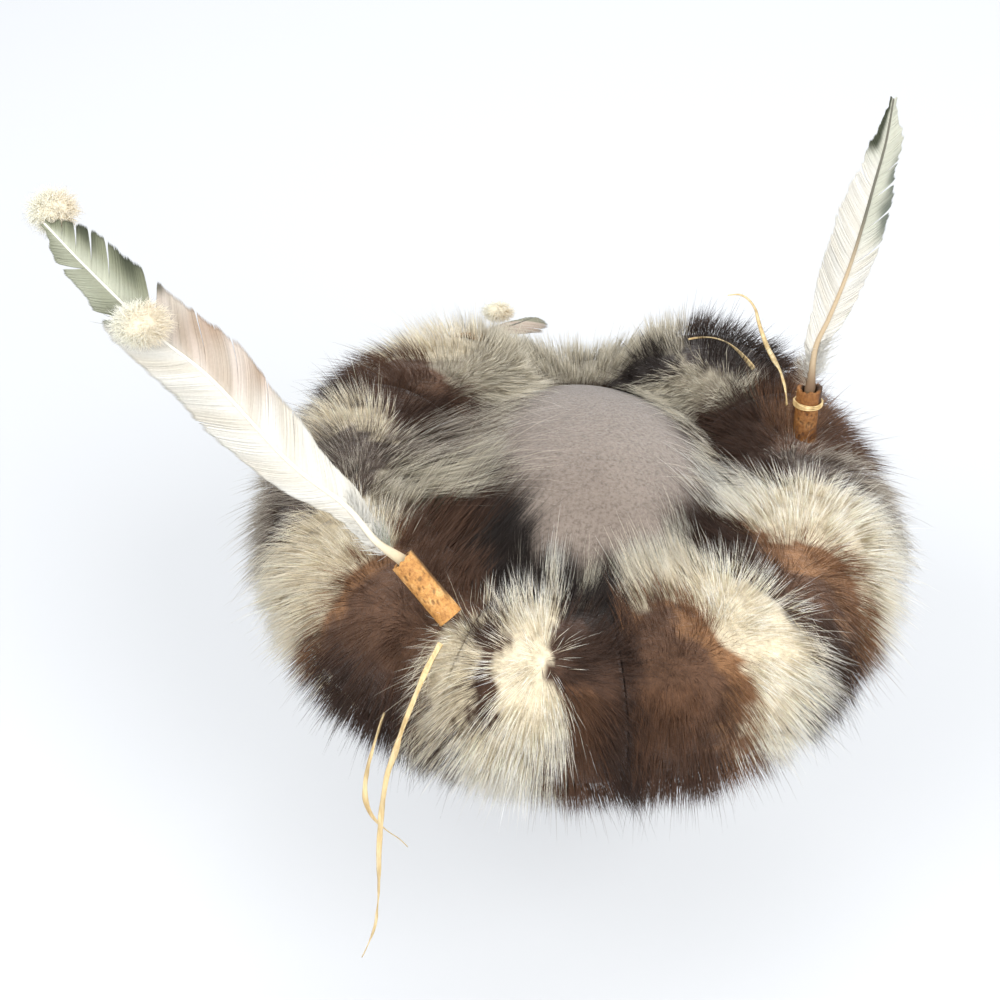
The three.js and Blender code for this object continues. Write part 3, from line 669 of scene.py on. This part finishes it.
def fur_hairs(low, high, seed):
    """Points, faces and colours of all hairs rooted between two bearings."""
    rng = np.random.default_rng(seed)
    clumps = int(CLUMPS_A_DEGREE * (high - low))
    below = clumps // 7
    clump_bearing = rng.uniform(low, high, clumps)
    clump_turn = np.concatenate([rng.uniform(-108, -40, below), rng.uniform(-40, 165, clumps - below)])
    way = lie_of_fur(clump_bearing, clump_turn, rng.normal(0, 0.17, (clumps, 3)))
    size = rng.uniform(0.8, 1.15, clumps)
    parts = []
    for hair in HAIRS:
        total = clumps * hair["count"]
        steps = np.array(hair["steps"], float)
        clump = np.repeat(np.arange(clumps), hair["count"])
        bearing = clump_bearing[clump] + rng.normal(0, 1.15, total)
        turn = clump_turn[clump] + rng.normal(0, 3.4, total)
        root = roll_point(bearing, turn, ROOT_DEPTH)
        length = fur_length(bearing, turn)
        length *= size[clump] * rng.uniform(0.7, 1.15, total) * hair["length"]
        own = lie_of_fur(bearing, turn, rng.normal(0, 0.13, (total, 3)))
        aim = unit(own * (1 - hair["follow"]) + way[clump] * hair["follow"])

        # Hairs droop a little with their own weight, the more so on the outer side.
        droop = np.array([0, 0, -1.0]) * (0.25 + 0.3 * smooth((70 - turn) / 80))[:, None]
        curve = aim[:, None] * steps[None, :, None] + droop[:, None] * (steps**2)[None, :, None] * 0.6
        lines = root[:, None] + length[:, None, None] * curve

        # The tips of a clump are drawn together, and none sinks into the felt.
        clump_tip = np.zeros((clumps, 3))
        np.add.at(clump_tip, clump, lines[:, -1])
        clump_tip /= hair["count"]
        share = hair["gather"] * steps**1.5
        lines += (clump_tip[clump] - lines[:, -1])[:, None] * share[None, :, None]
        lines = keep_off_dome(lines, 0.8 + 5 * rng.random((total, 1)) * steps[None])

        spot_bearing = clump_bearing[clump] + rng.normal(0, 0.5, total)
        spot_turn = clump_turn[clump] + rng.normal(0, 2, total)
        tints = FUR_TINTS[fur_kind(spot_bearing, spot_turn)]
        stops = [0, 0.55, 1]
        shares = np.stack([np.interp(steps, stops, row) for row in np.eye(3)], 1)
        colours = np.einsum("sk,nkc->nsc", shares, tints)
        tone = (1 + 0.1 * rng.normal(0, 1, clumps))[clump] * (1 + 0.1 * rng.normal(0, 1, total))
        colours = np.clip(colours * tone[:, None, None], 0.004, 0.97)

        radii = np.full((total, len(steps) - 2), hair["radius"]) * rng.uniform(0.75, 1.25, (total, 1))
        radii = radii * np.array(hair["taper"])
        parts.append(strands(lines, radii, colours, 3, 1.0, rng.normal(0, 1, (total, 3))))
    return parts


def under_fur(low, high):
    """The close dense fur under the hairs: a closed body that narrows towards the lobe's ends."""
    columns, rows = 60, 26
    turns = np.linspace(0, 360, columns, endpoint=False)
    bearings = np.linspace(low, high, rows)
    loops = []
    for bearing in bearings:
        share = abs(2 * (bearing - low) / (high - low) - 1)
        depth = UNDERFUR_DEPTH * (1 - 0.3 * CLEFT * share**3)
        loops.append(roll_point(np.full(columns, bearing), turns, depth))
    turn = (np.tile(turns, rows) + 180) % 360 - 180
    kind = fur_kind(np.repeat(bearings, columns), turn)
    # Painted shade: the underfur takes the roots' colour a tenth darker, so that it looks deep under the
    # hairs.
    return np.concatenate(loops), closed_faces(rows, columns), FUR_TINTS[kind][:, 0] * 0.9


for number, (lobe_name, low, high, _rise, _girth, _push, slot_name) in enumerate(LOBES):
    body = under_fur(low + 0.2, high - 0.2)
    base = make_mesh(lobe_name.replace("fur", "underfur"), *body)
    dress(base, UNDERFUR, slot_name)
    fur = make_mesh(lobe_name.replace("fur", "pelt"), *join_parts(fur_hairs(low, high, 100 + number)))
    dress(fur, FUR, slot_name, lobe_name)


# ---- felt crown


def felt_crown():
    """The dome's outside from its top to the rim, then its inside back up, as one closed skin."""
    columns, rows = 120, 44
    rings = []
    for outside in (True, False):
        inset = 0 if outside else CROWN["wall"]
        line = []
        for i in range(rows + 1):
            a = 0.5 * PI * i / rows
            across = 0.97 * math.sin(a)
            high = CROWN["side"] + (CROWN["height"] - CROWN["side"] - inset) * math.cos(a)
            line.append((max(across, 0.002), high))
        line.append((0.985, CROWN["side"] * 0.45))
        line.append((1.0, 0.0))
        wide, deep = CROWN["half_width"] - inset, CROWN["half_depth"] - inset
        rings.append([(share * wide, share * deep, z) for share, z in line])
    profile = rings[0] + rings[1][::-1]
    around = np.linspace(0, 2 * PI, columns, endpoint=False)
    points = np.concatenate([
        np.stack([x * np.cos(around), y * np.sin(around), np.full(columns, z)], 1) for x, y, z in profile])
    soft = ripple(points, 34, 71)[:, None] * 0.5 * unit(points * np.array([1, 1, 0.6]))
    points = points + soft * np.clip(points[:, 2:] / 60, 0, 1)
    return points, closed_faces(len(profile), columns)


crown = make_mesh("felt_dome", *felt_crown())
dress(crown, FELT, "felt", "felt_crown")


# ---- feathers

CAMERA_SIDE = (0, -0.766, 0.643)

# Each feather stands in a tube from foot along aim. Stations give the outline: share of the
# route, then the vane's half-width on its upper and lower sides. Gaps open the vane: side,
# share at the shaft, width at the edge in mm, and how far along the shaft it reaches.
FEATHERS = {
    "left": {
        "foot": (-56, -99, 80), "aim": (-0.646, 0.49, 0.584), "face": CAMERA_SIDE,
        "route": [(-87, -78.6, 104.2), (-99.6, -69.3, 115.4), (-122.9, -57.7, 129.3), (-154.5, -36, 155),
                  (-177.9, -23.9, 169.5), (-205.4, -6.8, 189.9), (-223.4, 5.3, 204.3)],
        "stations": [(0.0, 2.5, 2.5), (0.06, 2.6, 3.4), (0.16, 8, 7), (0.31, 14.5, 12), (0.45, 17, 17),
                     (0.6, 18.5, 16), (0.76, 16.5, 13), (0.86, 14.5, 9), (0.94, 12, 6), (1.0, 4, 3)],
        "gaps": [(1, 0.685, 9.0, 0.05), (-1, 0.73, 6.0, 0.03), (1, 0.81, 2.4, 0.02), (1, 0.86, 2.6, 0.018),
                 (1, 0.905, 2.2, 0.015), (1, 0.55, 1.4, 0.012), (1, 0.46, 1.0, 0.012), (1, 0.37, 0.9, 0.012),
                 (1, 0.29, 0.8, 0.012), (-1, 0.87, 3.5, 0.02), (-1, 0.40, 0.8, 0.012),
                 (1, 0.945, 1.5, 0.012)],
    },
    "right": {
        "foot": (102.6, 28, 66), "aim": (0.05, 0.261, 0.964), "face": (0, -0.964, 0.261),
        "route": [(105.6, 41.9, 113.9), (110.8, 45.6, 127.7), (117.5, 51, 147.7), (122.6, 56.5, 168.2),
                  (126.8, 62, 188.3), (130.3, 66.6, 205.5), (132.3, 71.7, 224.1)],
        "stations": [(0.0, 2.2, 2.2), (0.1, 2.6, 3), (0.24, 7, 9), (0.42, 10, 12.5), (0.6, 11, 12.5),
                     (0.76, 8.5, 9), (0.9, 6, 4.5), (1.0, 1.5, 1.5)],
        "gaps": [(1, 0.44, 2.6, 0.02), (1, 0.56, 2.4, 0.02), (1, 0.665, 2.6, 0.02), (1, 0.74, 1.6, 0.015),
                 (-1, 0.70, 2.0, 0.02), (-1, 0.5, 1.2, 0.015), (1, 0.3, 1.0, 0.012), (-1, 0.33, 0.9, 0.012)],
    },
    "back": {
        "foot": (-53, 100, 74), "aim": (0.17, 0.83, -0.53), "face": (0, 0.53, 0.85),
        "route": [(-45.5, 131, 56.5), (-39, 150, 45.5), (-31.5, 173, 32), (-24.5, 196, 18.5),
                  (-18, 217, 6.5)],
        "stations": [(0.0, 2.2, 2.2), (0.12, 3, 4), (0.3, 12, 14), (0.55, 16, 18), (0.8, 14, 15),
                     (0.93, 9, 9), (1.0, 2, 2)],
        "gaps": [(1, 0.5, 4.0, 0.03), (-1, 0.62, 3.0, 0.02), (1, 0.78, 1.6, 0.015)],
    },
}

WHITE = linear((220, 218, 211))
IVORY = linear((208, 201, 186))
TAN = linear((186, 160, 142))
TAN_STREAK = linear((160, 128, 100))
OLIVE = linear((128, 131, 108))
OLIVE_PALE = linear((186, 188, 170))
OLIVE_DARK = linear((66, 70, 54))
SLATE = linear((92, 100, 90))


def lerp(a, b, t):
    t = np.asarray(t)[..., None]
    return a * (1 - t) + b * t


def feather_line(feather, count):
    aim = np.array(feather["aim"], float)
    aim /= np.linalg.norm(aim)
    mouth = np.array(feather["foot"], float) + aim * TUBE["length"]
    return catmull([mouth] + [np.array(p, float) for p in feather["route"]], count), mouth, aim


def feather_frames(feather, line):
    along = unit(np.gradient(line, axis=0))
    hint = np.array(feather["face"], float)
    face = unit(hint - along * (along @ hint)[:, None])
    return along, face, np.cross(along, face)


def vane_colour(name, side, at, start, reach, seed):
    """Colours of the vane, from the share of the route where a point lies and where its barb starts.

    side is 1 or -1, and reach is the share of the way from the shaft to the edge.
    """
    spots = np.stack([at * 170, reach * 12 * side + 40], 1)
    streak = ripple(np.stack([at * 170 - reach * 20, reach * 3], 1), 6, seed)
    mottle = ripple(spots, 14, seed + 1)
    if name == "left":
        colour = lerp(WHITE, IVORY, 0.35 + 0.35 * streak)
        if side > 0:
            tan = smooth((at - 0.36) / 0.16) * smooth((reach + 0.25) / 0.5)
            colour = lerp(colour, lerp(TAN, TAN_STREAK, smooth(0.5 + streak)), tan * (0.62 + 0.3 * mottle))
            smudge = smooth((start - 0.63) / 0.05) * smooth((reach - 0.55 + 0.2 * mottle) / 0.3)
            colour = lerp(colour, OLIVE_DARK, smudge * 0.85)
            tip = smooth((start - 0.682) / 0.006)
            rim = smooth((reach - 0.5) * 1.6 + 0.3 * streak)
            olive = lerp(lerp(OLIVE_PALE, OLIVE, smooth(reach * 1.3)), OLIVE_DARK, rim)
        else:
            tip = smooth((start - 0.7) / 0.03)
            olive = lerp(OLIVE_PALE, OLIVE, 0.55 + 0.3 * mottle)
            grey_edge = smooth((reach - 0.82) / 0.15) * smooth((ripple(spots, 5, 9) - 0.1) / 0.4)
            colour = lerp(colour, OLIVE_PALE, 0.5 * grey_edge)
        return lerp(colour, olive, tip)
    if name == "right":
        colour = lerp(WHITE, IVORY, 0.25 + 0.3 * streak)
        if side > 0:
            grey = smooth((at - 0.5) / 0.1) * smooth((0.86 - at) / 0.08)
            colour = lerp(colour, OLIVE_PALE, 0.75 * smooth((at - 0.42) / 0.2))
            colour = lerp(colour, SLATE, grey * smooth((reach - 0.35 + 0.2 * mottle) / 0.5) * 0.85)
            bars = smooth((ripple(spots, 6, 21) - 0.2) / 0.3) * smooth((reach - 0.6) / 0.3)
            colour = lerp(colour, OLIVE_PALE, 0.6 * bars * smooth((0.45 - at) / 0.1))
        else:
            dark = smooth((at - 0.80) / 0.05) * smooth((reach - 0.25) / 0.4)
            colour = lerp(colour, OLIVE_PALE, 0.7 * smooth((at - 0.74) / 0.1))
            colour = lerp(colour, OLIVE_DARK, dark)
            edge = smooth((reach - 0.9) / 0.1) * smooth((ripple(spots, 5, 22) - 0.2) / 0.3)
            colour = lerp(colour, OLIVE_PALE, 0.6 * edge)
        return colour
    colour = lerp(IVORY, TAN, 0.55 + 0.3 * streak)
    colour = lerp(colour, OLIVE_DARK, 0.55 * smooth((reach - 0.85) / 0.1) * (side > 0))
    return lerp(colour, OLIVE, smooth((at - 0.8) / 0.05) * 0.8)


# Barbs: how far they run forward for each mm outward, their spacing and radius in mm.
BARB_SLANT = 1.15
BARB_SPACING = 0.68
BARB_RADIUS = 0.42


def vane_side(name, feather, line, length, side, seed):
    """The barbs on one side of the shaft, as flat strands that lie side by side."""
    rng = np.random.default_rng(seed)
    along, face, across = feather_frames(feather, line)
    table = np.array(feather["stations"])
    widths = table[:, 1 if side > 0 else 2]
    count = int(length * 0.93 / BARB_SPACING)
    start = np.linspace(0.055, 0.992, count)
    out = np.interp(start, table[:, 0], widths)
    for _ in range(8):
        end = np.minimum(start + BARB_SLANT * out / length, 1.0)
        out = 0.5 * out + 0.5 * np.interp(end, table[:, 0], widths)
    taper = smooth((1.0 - start) / 0.07)
    out = out * (0.35 + 0.65 * taper)
    spots = start[:, None] * 100
    ragged = 0.5 * ripple(spots, 2.2, seed + 1) + 0.9 * ripple(spots, 9, seed + 2)
    out = np.maximum(out + ragged * smooth(out / 6) * 0.8, QUILL * 0.6)
    steps = np.concatenate([[0.0], np.linspace(0.06, 1, 9)])
    reach = out[:, None] * steps[None]
    forward = BARB_SLANT * out[:, None] * (0.72 * steps + 0.28 * steps**2)[None]
    for gap_side, at, wide, spread in feather["gaps"]:
        if gap_side != side:
            continue
        away = (start - at) / spread
        push = 0.5 * wide * np.sign(away) * np.exp(-np.abs(away)) * smooth(out / 5)
        forward += push[:, None] * (steps**1.2)[None]
    s = np.clip(start[:, None] + forward / length, 0, 1.02)
    grid = np.linspace(0, 1, len(line))
    fields = []
    for field in (line, across, face, along):
        fields.append(np.stack([np.interp(s, grid, field[:, k]) for k in range(3)], -1))
    spine, e_across, e_face, e_along = fields
    wave = ripple(np.stack([start * 40, start * 0], 1), 6, seed + 3)
    over = -0.012 * reach**2 + 0.55 * wave[:, None] * steps[None] ** 2
    past = np.maximum(start[:, None] + forward / length - 1.0, 0) * length
    points = spine + e_across * (side * reach)[..., None] + e_face * over[..., None]
    points = points + e_along * past[..., None]
    points += rng.normal(0, 0.05, (count, 1, 3)) * steps[None, :, None]
    own = np.repeat(start, len(steps))
    colours = vane_colour(name, side, np.clip(s.ravel(), 0, 1), own, np.tile(steps, count), seed + 5)
    colours = colours.reshape(count, len(steps), 3) * (1 + 0.05 * rng.normal(0, 1, (count, 1, 1)))
    radii = np.full((count, len(steps) - 2), BARB_RADIUS) * np.linspace(1.05, 0.8, len(steps) - 2)
    turn = np.mean(e_face, axis=1)
    return strands(points, radii, np.clip(colours, 0, 0.97), 4, 0.22, turn)


# Colours of a shaft: where it leaves the tube, at the start of the vane, and beyond.
SHAFTS = {
    "left": ((206, 190, 158), (232, 226, 210), (238, 235, 226)),
    "right": ((120, 96, 74), (196, 176, 146), (112, 110, 98)),
    "back": ((206, 190, 158), (196, 176, 146), (112, 110, 98)),
}


def feather_shaft(name, feather, line, mouth, aim):
    """The quill and shaft, from its foot in the tube to the feather's tip."""
    share = np.linspace(0, 1, len(line))
    sunk = mouth - aim * QUILL_SUNK
    spine = np.concatenate([[sunk - aim * 0.5, sunk, mouth - aim * 6], line])
    radius = 0.4 + 0.8 * (1 - share) + (QUILL - 1.2) * np.exp(-share / 0.07)
    radius = np.concatenate([[QUILL * 0.8, QUILL * 0.9], radius[:-1]])
    bare, middle, top = (linear(colour) for colour in SHAFTS[name])
    colours = lerp(lerp(bare, middle, smooth(share / 0.12)), top, smooth((share - 0.35) / 0.3))
    # Painted shade: the quill's end inside the tube is coloured darker than where it leaves the tube,
    # darkest deepest down.
    dark = linear((120, 104, 82))
    colours = np.concatenate([[dark, dark, linear((150, 132, 104))], colours])
    return strands(spine[None], radius[None], colours[None], 12, 0.85, np.array([feather["face"]], float))


def loose_barbs(feather, line, low, high, count, reach, colour, seed, side):
    """Fine curling barbs beside the shaft, between two shares of the route."""
    rng = np.random.default_rng(seed)
    along, face, across = feather_frames(feather, line)
    at = rng.uniform(low, high, count)
    k = (at * (len(line) - 1)).astype(int)
    steps = np.linspace(0, 1, 7)
    size = reach * rng.uniform(0.5, 1.1, count)
    curl = rng.uniform(0.4, 2.2, count)[:, None] * steps[None]
    phase = rng.uniform(-0.5, 0.6, count)[:, None]
    out = np.cumsum(np.cos(curl + phase), axis=1) / 7 * size[:, None]
    fore = np.cumsum(np.sin(curl + phase + 0.5), axis=1) / 7 * size[:, None]
    lift = rng.normal(0, 0.25, count)[:, None] * size[:, None] * steps[None]
    out[:, 0] = fore[:, 0] = 0
    points = line[k][:, None] + across[k][:, None] * (out * side)[..., None]
    points = points + along[k][:, None] * fore[..., None] + face[k][:, None] * lift[..., None]
    colours = np.broadcast_to(colour, (count, 7, 3)) * rng.uniform(0.9, 1.05, (count, 1, 1))
    radii = np.full((count, 5), 0.11) * np.linspace(1.2, 0.6, 5)
    return strands(points, radii, np.clip(colours, 0, 0.97), 3, 1.0, rng.normal(0, 1, (count, 3)))


def plume(name, feather, seed):
    (line, length), mouth, aim = feather_line(feather, 200)
    parts = [feather_shaft(name, feather, line, mouth, aim)]
    for side in (1, -1):
        parts.append(vane_side(name, feather, line, length, side, seed + side))
    soft = WHITE if name != "back" else IVORY
    parts.append(loose_barbs(feather, line, 0.04, 0.16, 170, 11, soft, seed + 7, 1))
    parts.append(loose_barbs(feather, line, 0.03, 0.12, 90, 9, soft, seed + 8, -1))
    if name == "left":
        parts.append(loose_barbs(feather, line, 0.03, 0.075, 60, 10, OLIVE_PALE * 0.8, seed + 9, 1))
        parts.append(loose_barbs(feather, line, 0.70, 0.76, 26, 15, OLIVE, seed + 10, -1))
    if name == "right":
        parts.append(loose_barbs(feather, line, 0.0, 0.07, 90, 10, linear((176, 160, 142)), seed + 9, -1))
    piece = make_mesh("plume_" + name, *join_parts(parts))
    return dress(piece, VANE, "feather", "feather_" + name)


for index, (feather_name, feather_data) in enumerate(FEATHERS.items()):
    plume(feather_name, feather_data, 300 + 40 * index)


# ---- puffs of down

# Name, centre, half sizes and facing, then the number of barbs.
PUFFS = [
    ("down_left_tip", (-221, 15, 203.5), (12, 11, 8), CAMERA_SIDE, 1500),
    ("down_left_middle", (-182, -28.5, 177), (14, 11, 6.5), CAMERA_SIDE, 1700),
    ("down_back", (-37, 165, 47), (9, 8, 6), (0, 0.53, 0.85), 900),
]
DOWN_ROOT = linear((252, 244, 222))
DOWN_TIP = linear((254, 252, 244))
# DOWN_SHADE is the colour of a painted shade on one side of each puff.
DOWN_SHADE = linear((236, 216, 178))


def turn_to(facing):
    """The turn that brings the z axis round to a direction."""
    return np.array(Vector((0, 0, 1)).rotation_difference(Vector(facing)).to_matrix())


def puff_of_down(centre, half, facing, count, seed):
    """Fine barbs that spring from a puff's middle and curl a little."""
    rng = np.random.default_rng(seed)
    turn = turn_to(facing)
    out = unit(rng.normal(0, 1, (count, 3)))
    size = np.array(half, float)
    steps = np.linspace(0, 1, 5)
    swirl = unit(np.cross(out, rng.normal(0, 1, (count, 3))))
    reach = rng.uniform(0.75, 1.12, count)
    bend = rng.uniform(0.1, 0.5, count)
    grown = steps[None] ** 0.8 * reach[:, None]
    local = out[:, None] * grown[..., None] + swirl[:, None] * (bend[:, None] * steps[None] ** 2)[..., None]
    local += rng.normal(0, 0.2, (count, 1, 3)) * (1 - steps)[None, :, None]
    points = (local * size) @ turn.T + np.array(centre, float)
    # Painted shade: barbs towards the puff's own +x side, broken up by blotches, are mixed up to three
    # tenths towards the darker, warmer DOWN_SHADE.
    shade = smooth((out[:, 0] * 0.8 + 0.25 + 0.5 * ripple(out, 1.2, seed + 1)))
    tone = lerp(DOWN_ROOT, DOWN_TIP, steps)[None] * np.ones((count, 1, 1))
    tone = tone * (1 - 0.3 * shade[:, None, None]) + DOWN_SHADE * 0.3 * shade[:, None, None]
    radii = np.full((count, 3), 0.16) * np.array([1.3, 1.0, 0.7])
    return strands(points, radii, np.clip(tone, 0, 0.97), 3, 1.0, rng.normal(0, 1, (count, 3)))


def puff_core(centre, half, facing, seed):
    """The close middle of a puff, an uneven ball."""
    turn = turn_to(facing)
    rows, columns = 18, 28
    lat = np.linspace(0.12, PI - 0.12, rows)
    lon = np.linspace(0, 2 * PI, columns, endpoint=False)
    a, b = np.meshgrid(lat, lon, indexing="ij")
    ball = np.stack([np.sin(a) * np.cos(b), np.sin(a) * np.sin(b), np.cos(a)], -1).reshape(-1, 3)
    ball *= (0.62 + 0.1 * ripple(ball, 0.7, seed))[:, None]
    points = (ball * np.array(half, float)) @ turn.T + np.array(centre, float)
    return points, closed_faces(rows, columns), np.broadcast_to(DOWN_ROOT * 0.97, (len(points), 3))


for index, (puff_name, centre, half, facing, count) in enumerate(PUFFS):
    parts = [puff_core(centre, half, facing, 500 + index)]
    parts.append(puff_of_down(centre, half, facing, count, 520 + index))
    puff = make_mesh(puff_name.replace("down", "puff"), *join_parts(parts))
    dress(puff, DOWN, "down", puff_name)


# ---- wooden tubes


# A tube's mouth and bore, from the rim inward and down: share of the length, and radius.
BORE = [(1.0, 4.6), (0.99, 3.7), (0.9, 3.3), (0.4, 3.2), (0.0, 3.2)]


def wood_tube(name, feather, tone, seed):
    """A short length of twig, hollow, with a slanted chipped mouth and long pits in its side."""
    tone = np.array(tone)
    aim = unit(np.array(feather["aim"], float))
    front = unit(np.array(CAMERA_SIDE) - aim * (aim @ np.array(CAMERA_SIDE)))
    right = np.cross(aim, front)
    foot = np.array(feather["foot"], float)
    columns, rows = 72, 76
    around = np.linspace(0, 2 * PI, columns, endpoint=False)
    circle = np.stack([np.cos(around), np.sin(around)], 1)
    pale = linear((232, 214, 184))

    def ring(share, radius, outer):
        """Points and colours of one ring. Only an outer ring is waved and pitted, and an inner ring gets a
        painted shade, dark inside the bore.
        """
        slant = share**3 * (0.9 * np.cos(around - 2.2) + 0.5 * ripple(circle, 0.35, seed))
        high = TUBE["length"] * share + slant
        flat = np.stack([around * TUBE["radius"], high * 0.42], 1)
        pits = smooth((ripple(flat, 1.0, seed + 1) - 0.5) / 0.25)
        pits *= smooth((np.cos(around + 0.1) - 0.3) / 0.5)
        pits *= smooth((share - 0.12) / 0.1) * smooth((0.9 - share) / 0.1)
        if outer:
            waves = ripple(np.stack([around * TUBE["radius"], high * 0.3], 1), 7, seed + 2)
            radius = radius + (0.18 * waves - 0.45 * pits)
        place = foot + aim * high[:, None] + front * (radius * np.cos(around))[:, None]
        place = place + right * (radius * np.sin(around))[:, None]
        # Painted shade: the rings inside the bore are coloured at a quarter of the tube's tone.
        if not outer:
            return place, np.broadcast_to(tone * 0.25, (columns, 3))
        # A band down one side of the tube (towards its right as seen from the camera) is darkened by up to
        # 0.72, and the opposite side is made up to 0.3 paler.
        dark_side_band = smooth((np.sin(around) - 0.72 + 0.12 * ripple(flat, 4, seed + 3)) / 0.2)
        dark_side_band = dark_side_band * smooth((share - 0.15) / 0.2)
        tint = lerp(tone, pale, 0.3 * smooth(-np.sin(around) - 0.2))
        return place, tint * ((1 - 0.5 * pits) * (1 - 0.72 * dark_side_band))[:, None]

    rings = [ring(i / rows, TUBE["radius"], True) for i in range(rows + 1)]
    rings += [ring(share, radius, share == 1.0) for share, radius in BORE]
    points = np.concatenate([place for place, _ in rings])
    tints = np.concatenate([tint for _, tint in rings])
    k = np.arange(columns)
    following = (k + 1) % columns
    last = (len(rings) - 1) * columns
    foot_faces = np.stack([last + k, last + following, following, k], 1)
    faces = [grid_faces(len(rings), columns), foot_faces]
    piece = make_mesh("wood_tube_" + name, points, faces, np.clip(tints, 0.01, 1))
    return dress(piece, WOOD, "wood", "tube_" + name)


# The lashing: its foot's height up the tube, turns of each strand, radius of the winding, rise over
# the winding, strands and half their width, in mm.
LASHING = {"foot": 22.6, "turns": 3.3, "radius": 6.35, "rise": 2.6, "strands": 2, "strand": 0.42}


def lashing(feather, seed):
    """Raffia wound round a tube in thin strands, whose ends lift away from it."""
    rng = np.random.default_rng(seed)
    aim = unit(np.array(feather["aim"], float))
    side = unit(np.cross(aim, np.array([0.3, -1.0, 0.2])))
    other = np.cross(aim, side)
    foot = np.array(feather["foot"], float)
    share = np.linspace(0, 1, 90)
    lines = []
    for strand in range(LASHING["strands"]):
        around = 2 * PI * LASHING["turns"] * share + strand * 2.6
        loose = 3.5 * smooth((share - 0.94) / 0.06)
        radius = LASHING["radius"] + 0.25 * np.sin(3 * around + strand) + loose
        high = LASHING["foot"] + LASHING["rise"] * share + 0.4 * np.sin(around + 1.3 * strand)
        line = foot + aim * high[:, None] + side * (radius * np.cos(around))[:, None]
        lines.append(line + other * (radius * np.sin(around))[:, None])
    count = len(lines)
    tone = np.array([0.96, 0.9, 0.8]) * rng.uniform(0.85, 1, (count, len(share), 1))
    radii = np.full((count, len(share) - 2), LASHING["strand"])
    return strands(np.array(lines), radii, tone, 6, 0.6, np.tile(aim, (count, 1)))


band = make_mesh("raffia_lashing_right", *lashing(FEATHERS["right"], 41))
dress(band, RAFFIA, "raffia", "lashing_right")


TUBE_TONES = {"left": (1.0, 0.98, 0.95), "right": (0.42, 0.33, 0.27), "back": (0.7, 0.6, 0.52)}
for index, (feather_name, feather_data) in enumerate(FEATHERS.items()):
    wood_tube(feather_name, feather_data, TUBE_TONES[feather_name], 700 + 10 * index)


# ---- light and floor


def area_light(name, place, aim, size, power, colour=(1, 1, 1)):
    data = bpy.data.lights.new(name, "AREA")
    data.shape = "DISK"
    data.size = size
    data.energy = power
    data.color = colour
    lamp = bpy.data.objects.new(name, data)
    lamp.location = place
    lamp.rotation_euler = (Vector(place) - Vector(aim)).to_track_quat("Z", "Y").to_euler()
    bpy.context.scene.collection.objects.link(lamp)


FLOOR_Z = -0.16
bpy.ops.mesh.primitive_plane_add(size=8, location=(0, 0, FLOOR_Z))
floor = bpy.context.object
floor.name = "floor"
floor_nodes = Nodes("floor")
floor_nodes.set(Base_Color=(0.52, 0.53, 0.545, 1), Roughness=0.9, Specular_IOR_Level=0.1)
floor.data.materials.append(floor_nodes.material)

area_light("key", (0.9, -1.1, 1.1), (0, 0, 0.05), 1.3, 34)
area_light("fill", (-1.1, -0.8, 1.2), (0, 0, 0.05), 1.4, 24)
area_light("back", (0.2, 1.3, 1.4), (0, 0, 0.05), 1.4, 16)
bpy.context.scene.view_settings.view_transform = "Standard"

world = bpy.data.worlds.new("world")
bpy.context.scene.world = world
world.use_nodes = True
world.node_tree.nodes["Background"].inputs["Color"].default_value = (0.96, 0.98, 1.0, 1)
world.node_tree.nodes["Background"].inputs["Strength"].default_value = 1.0
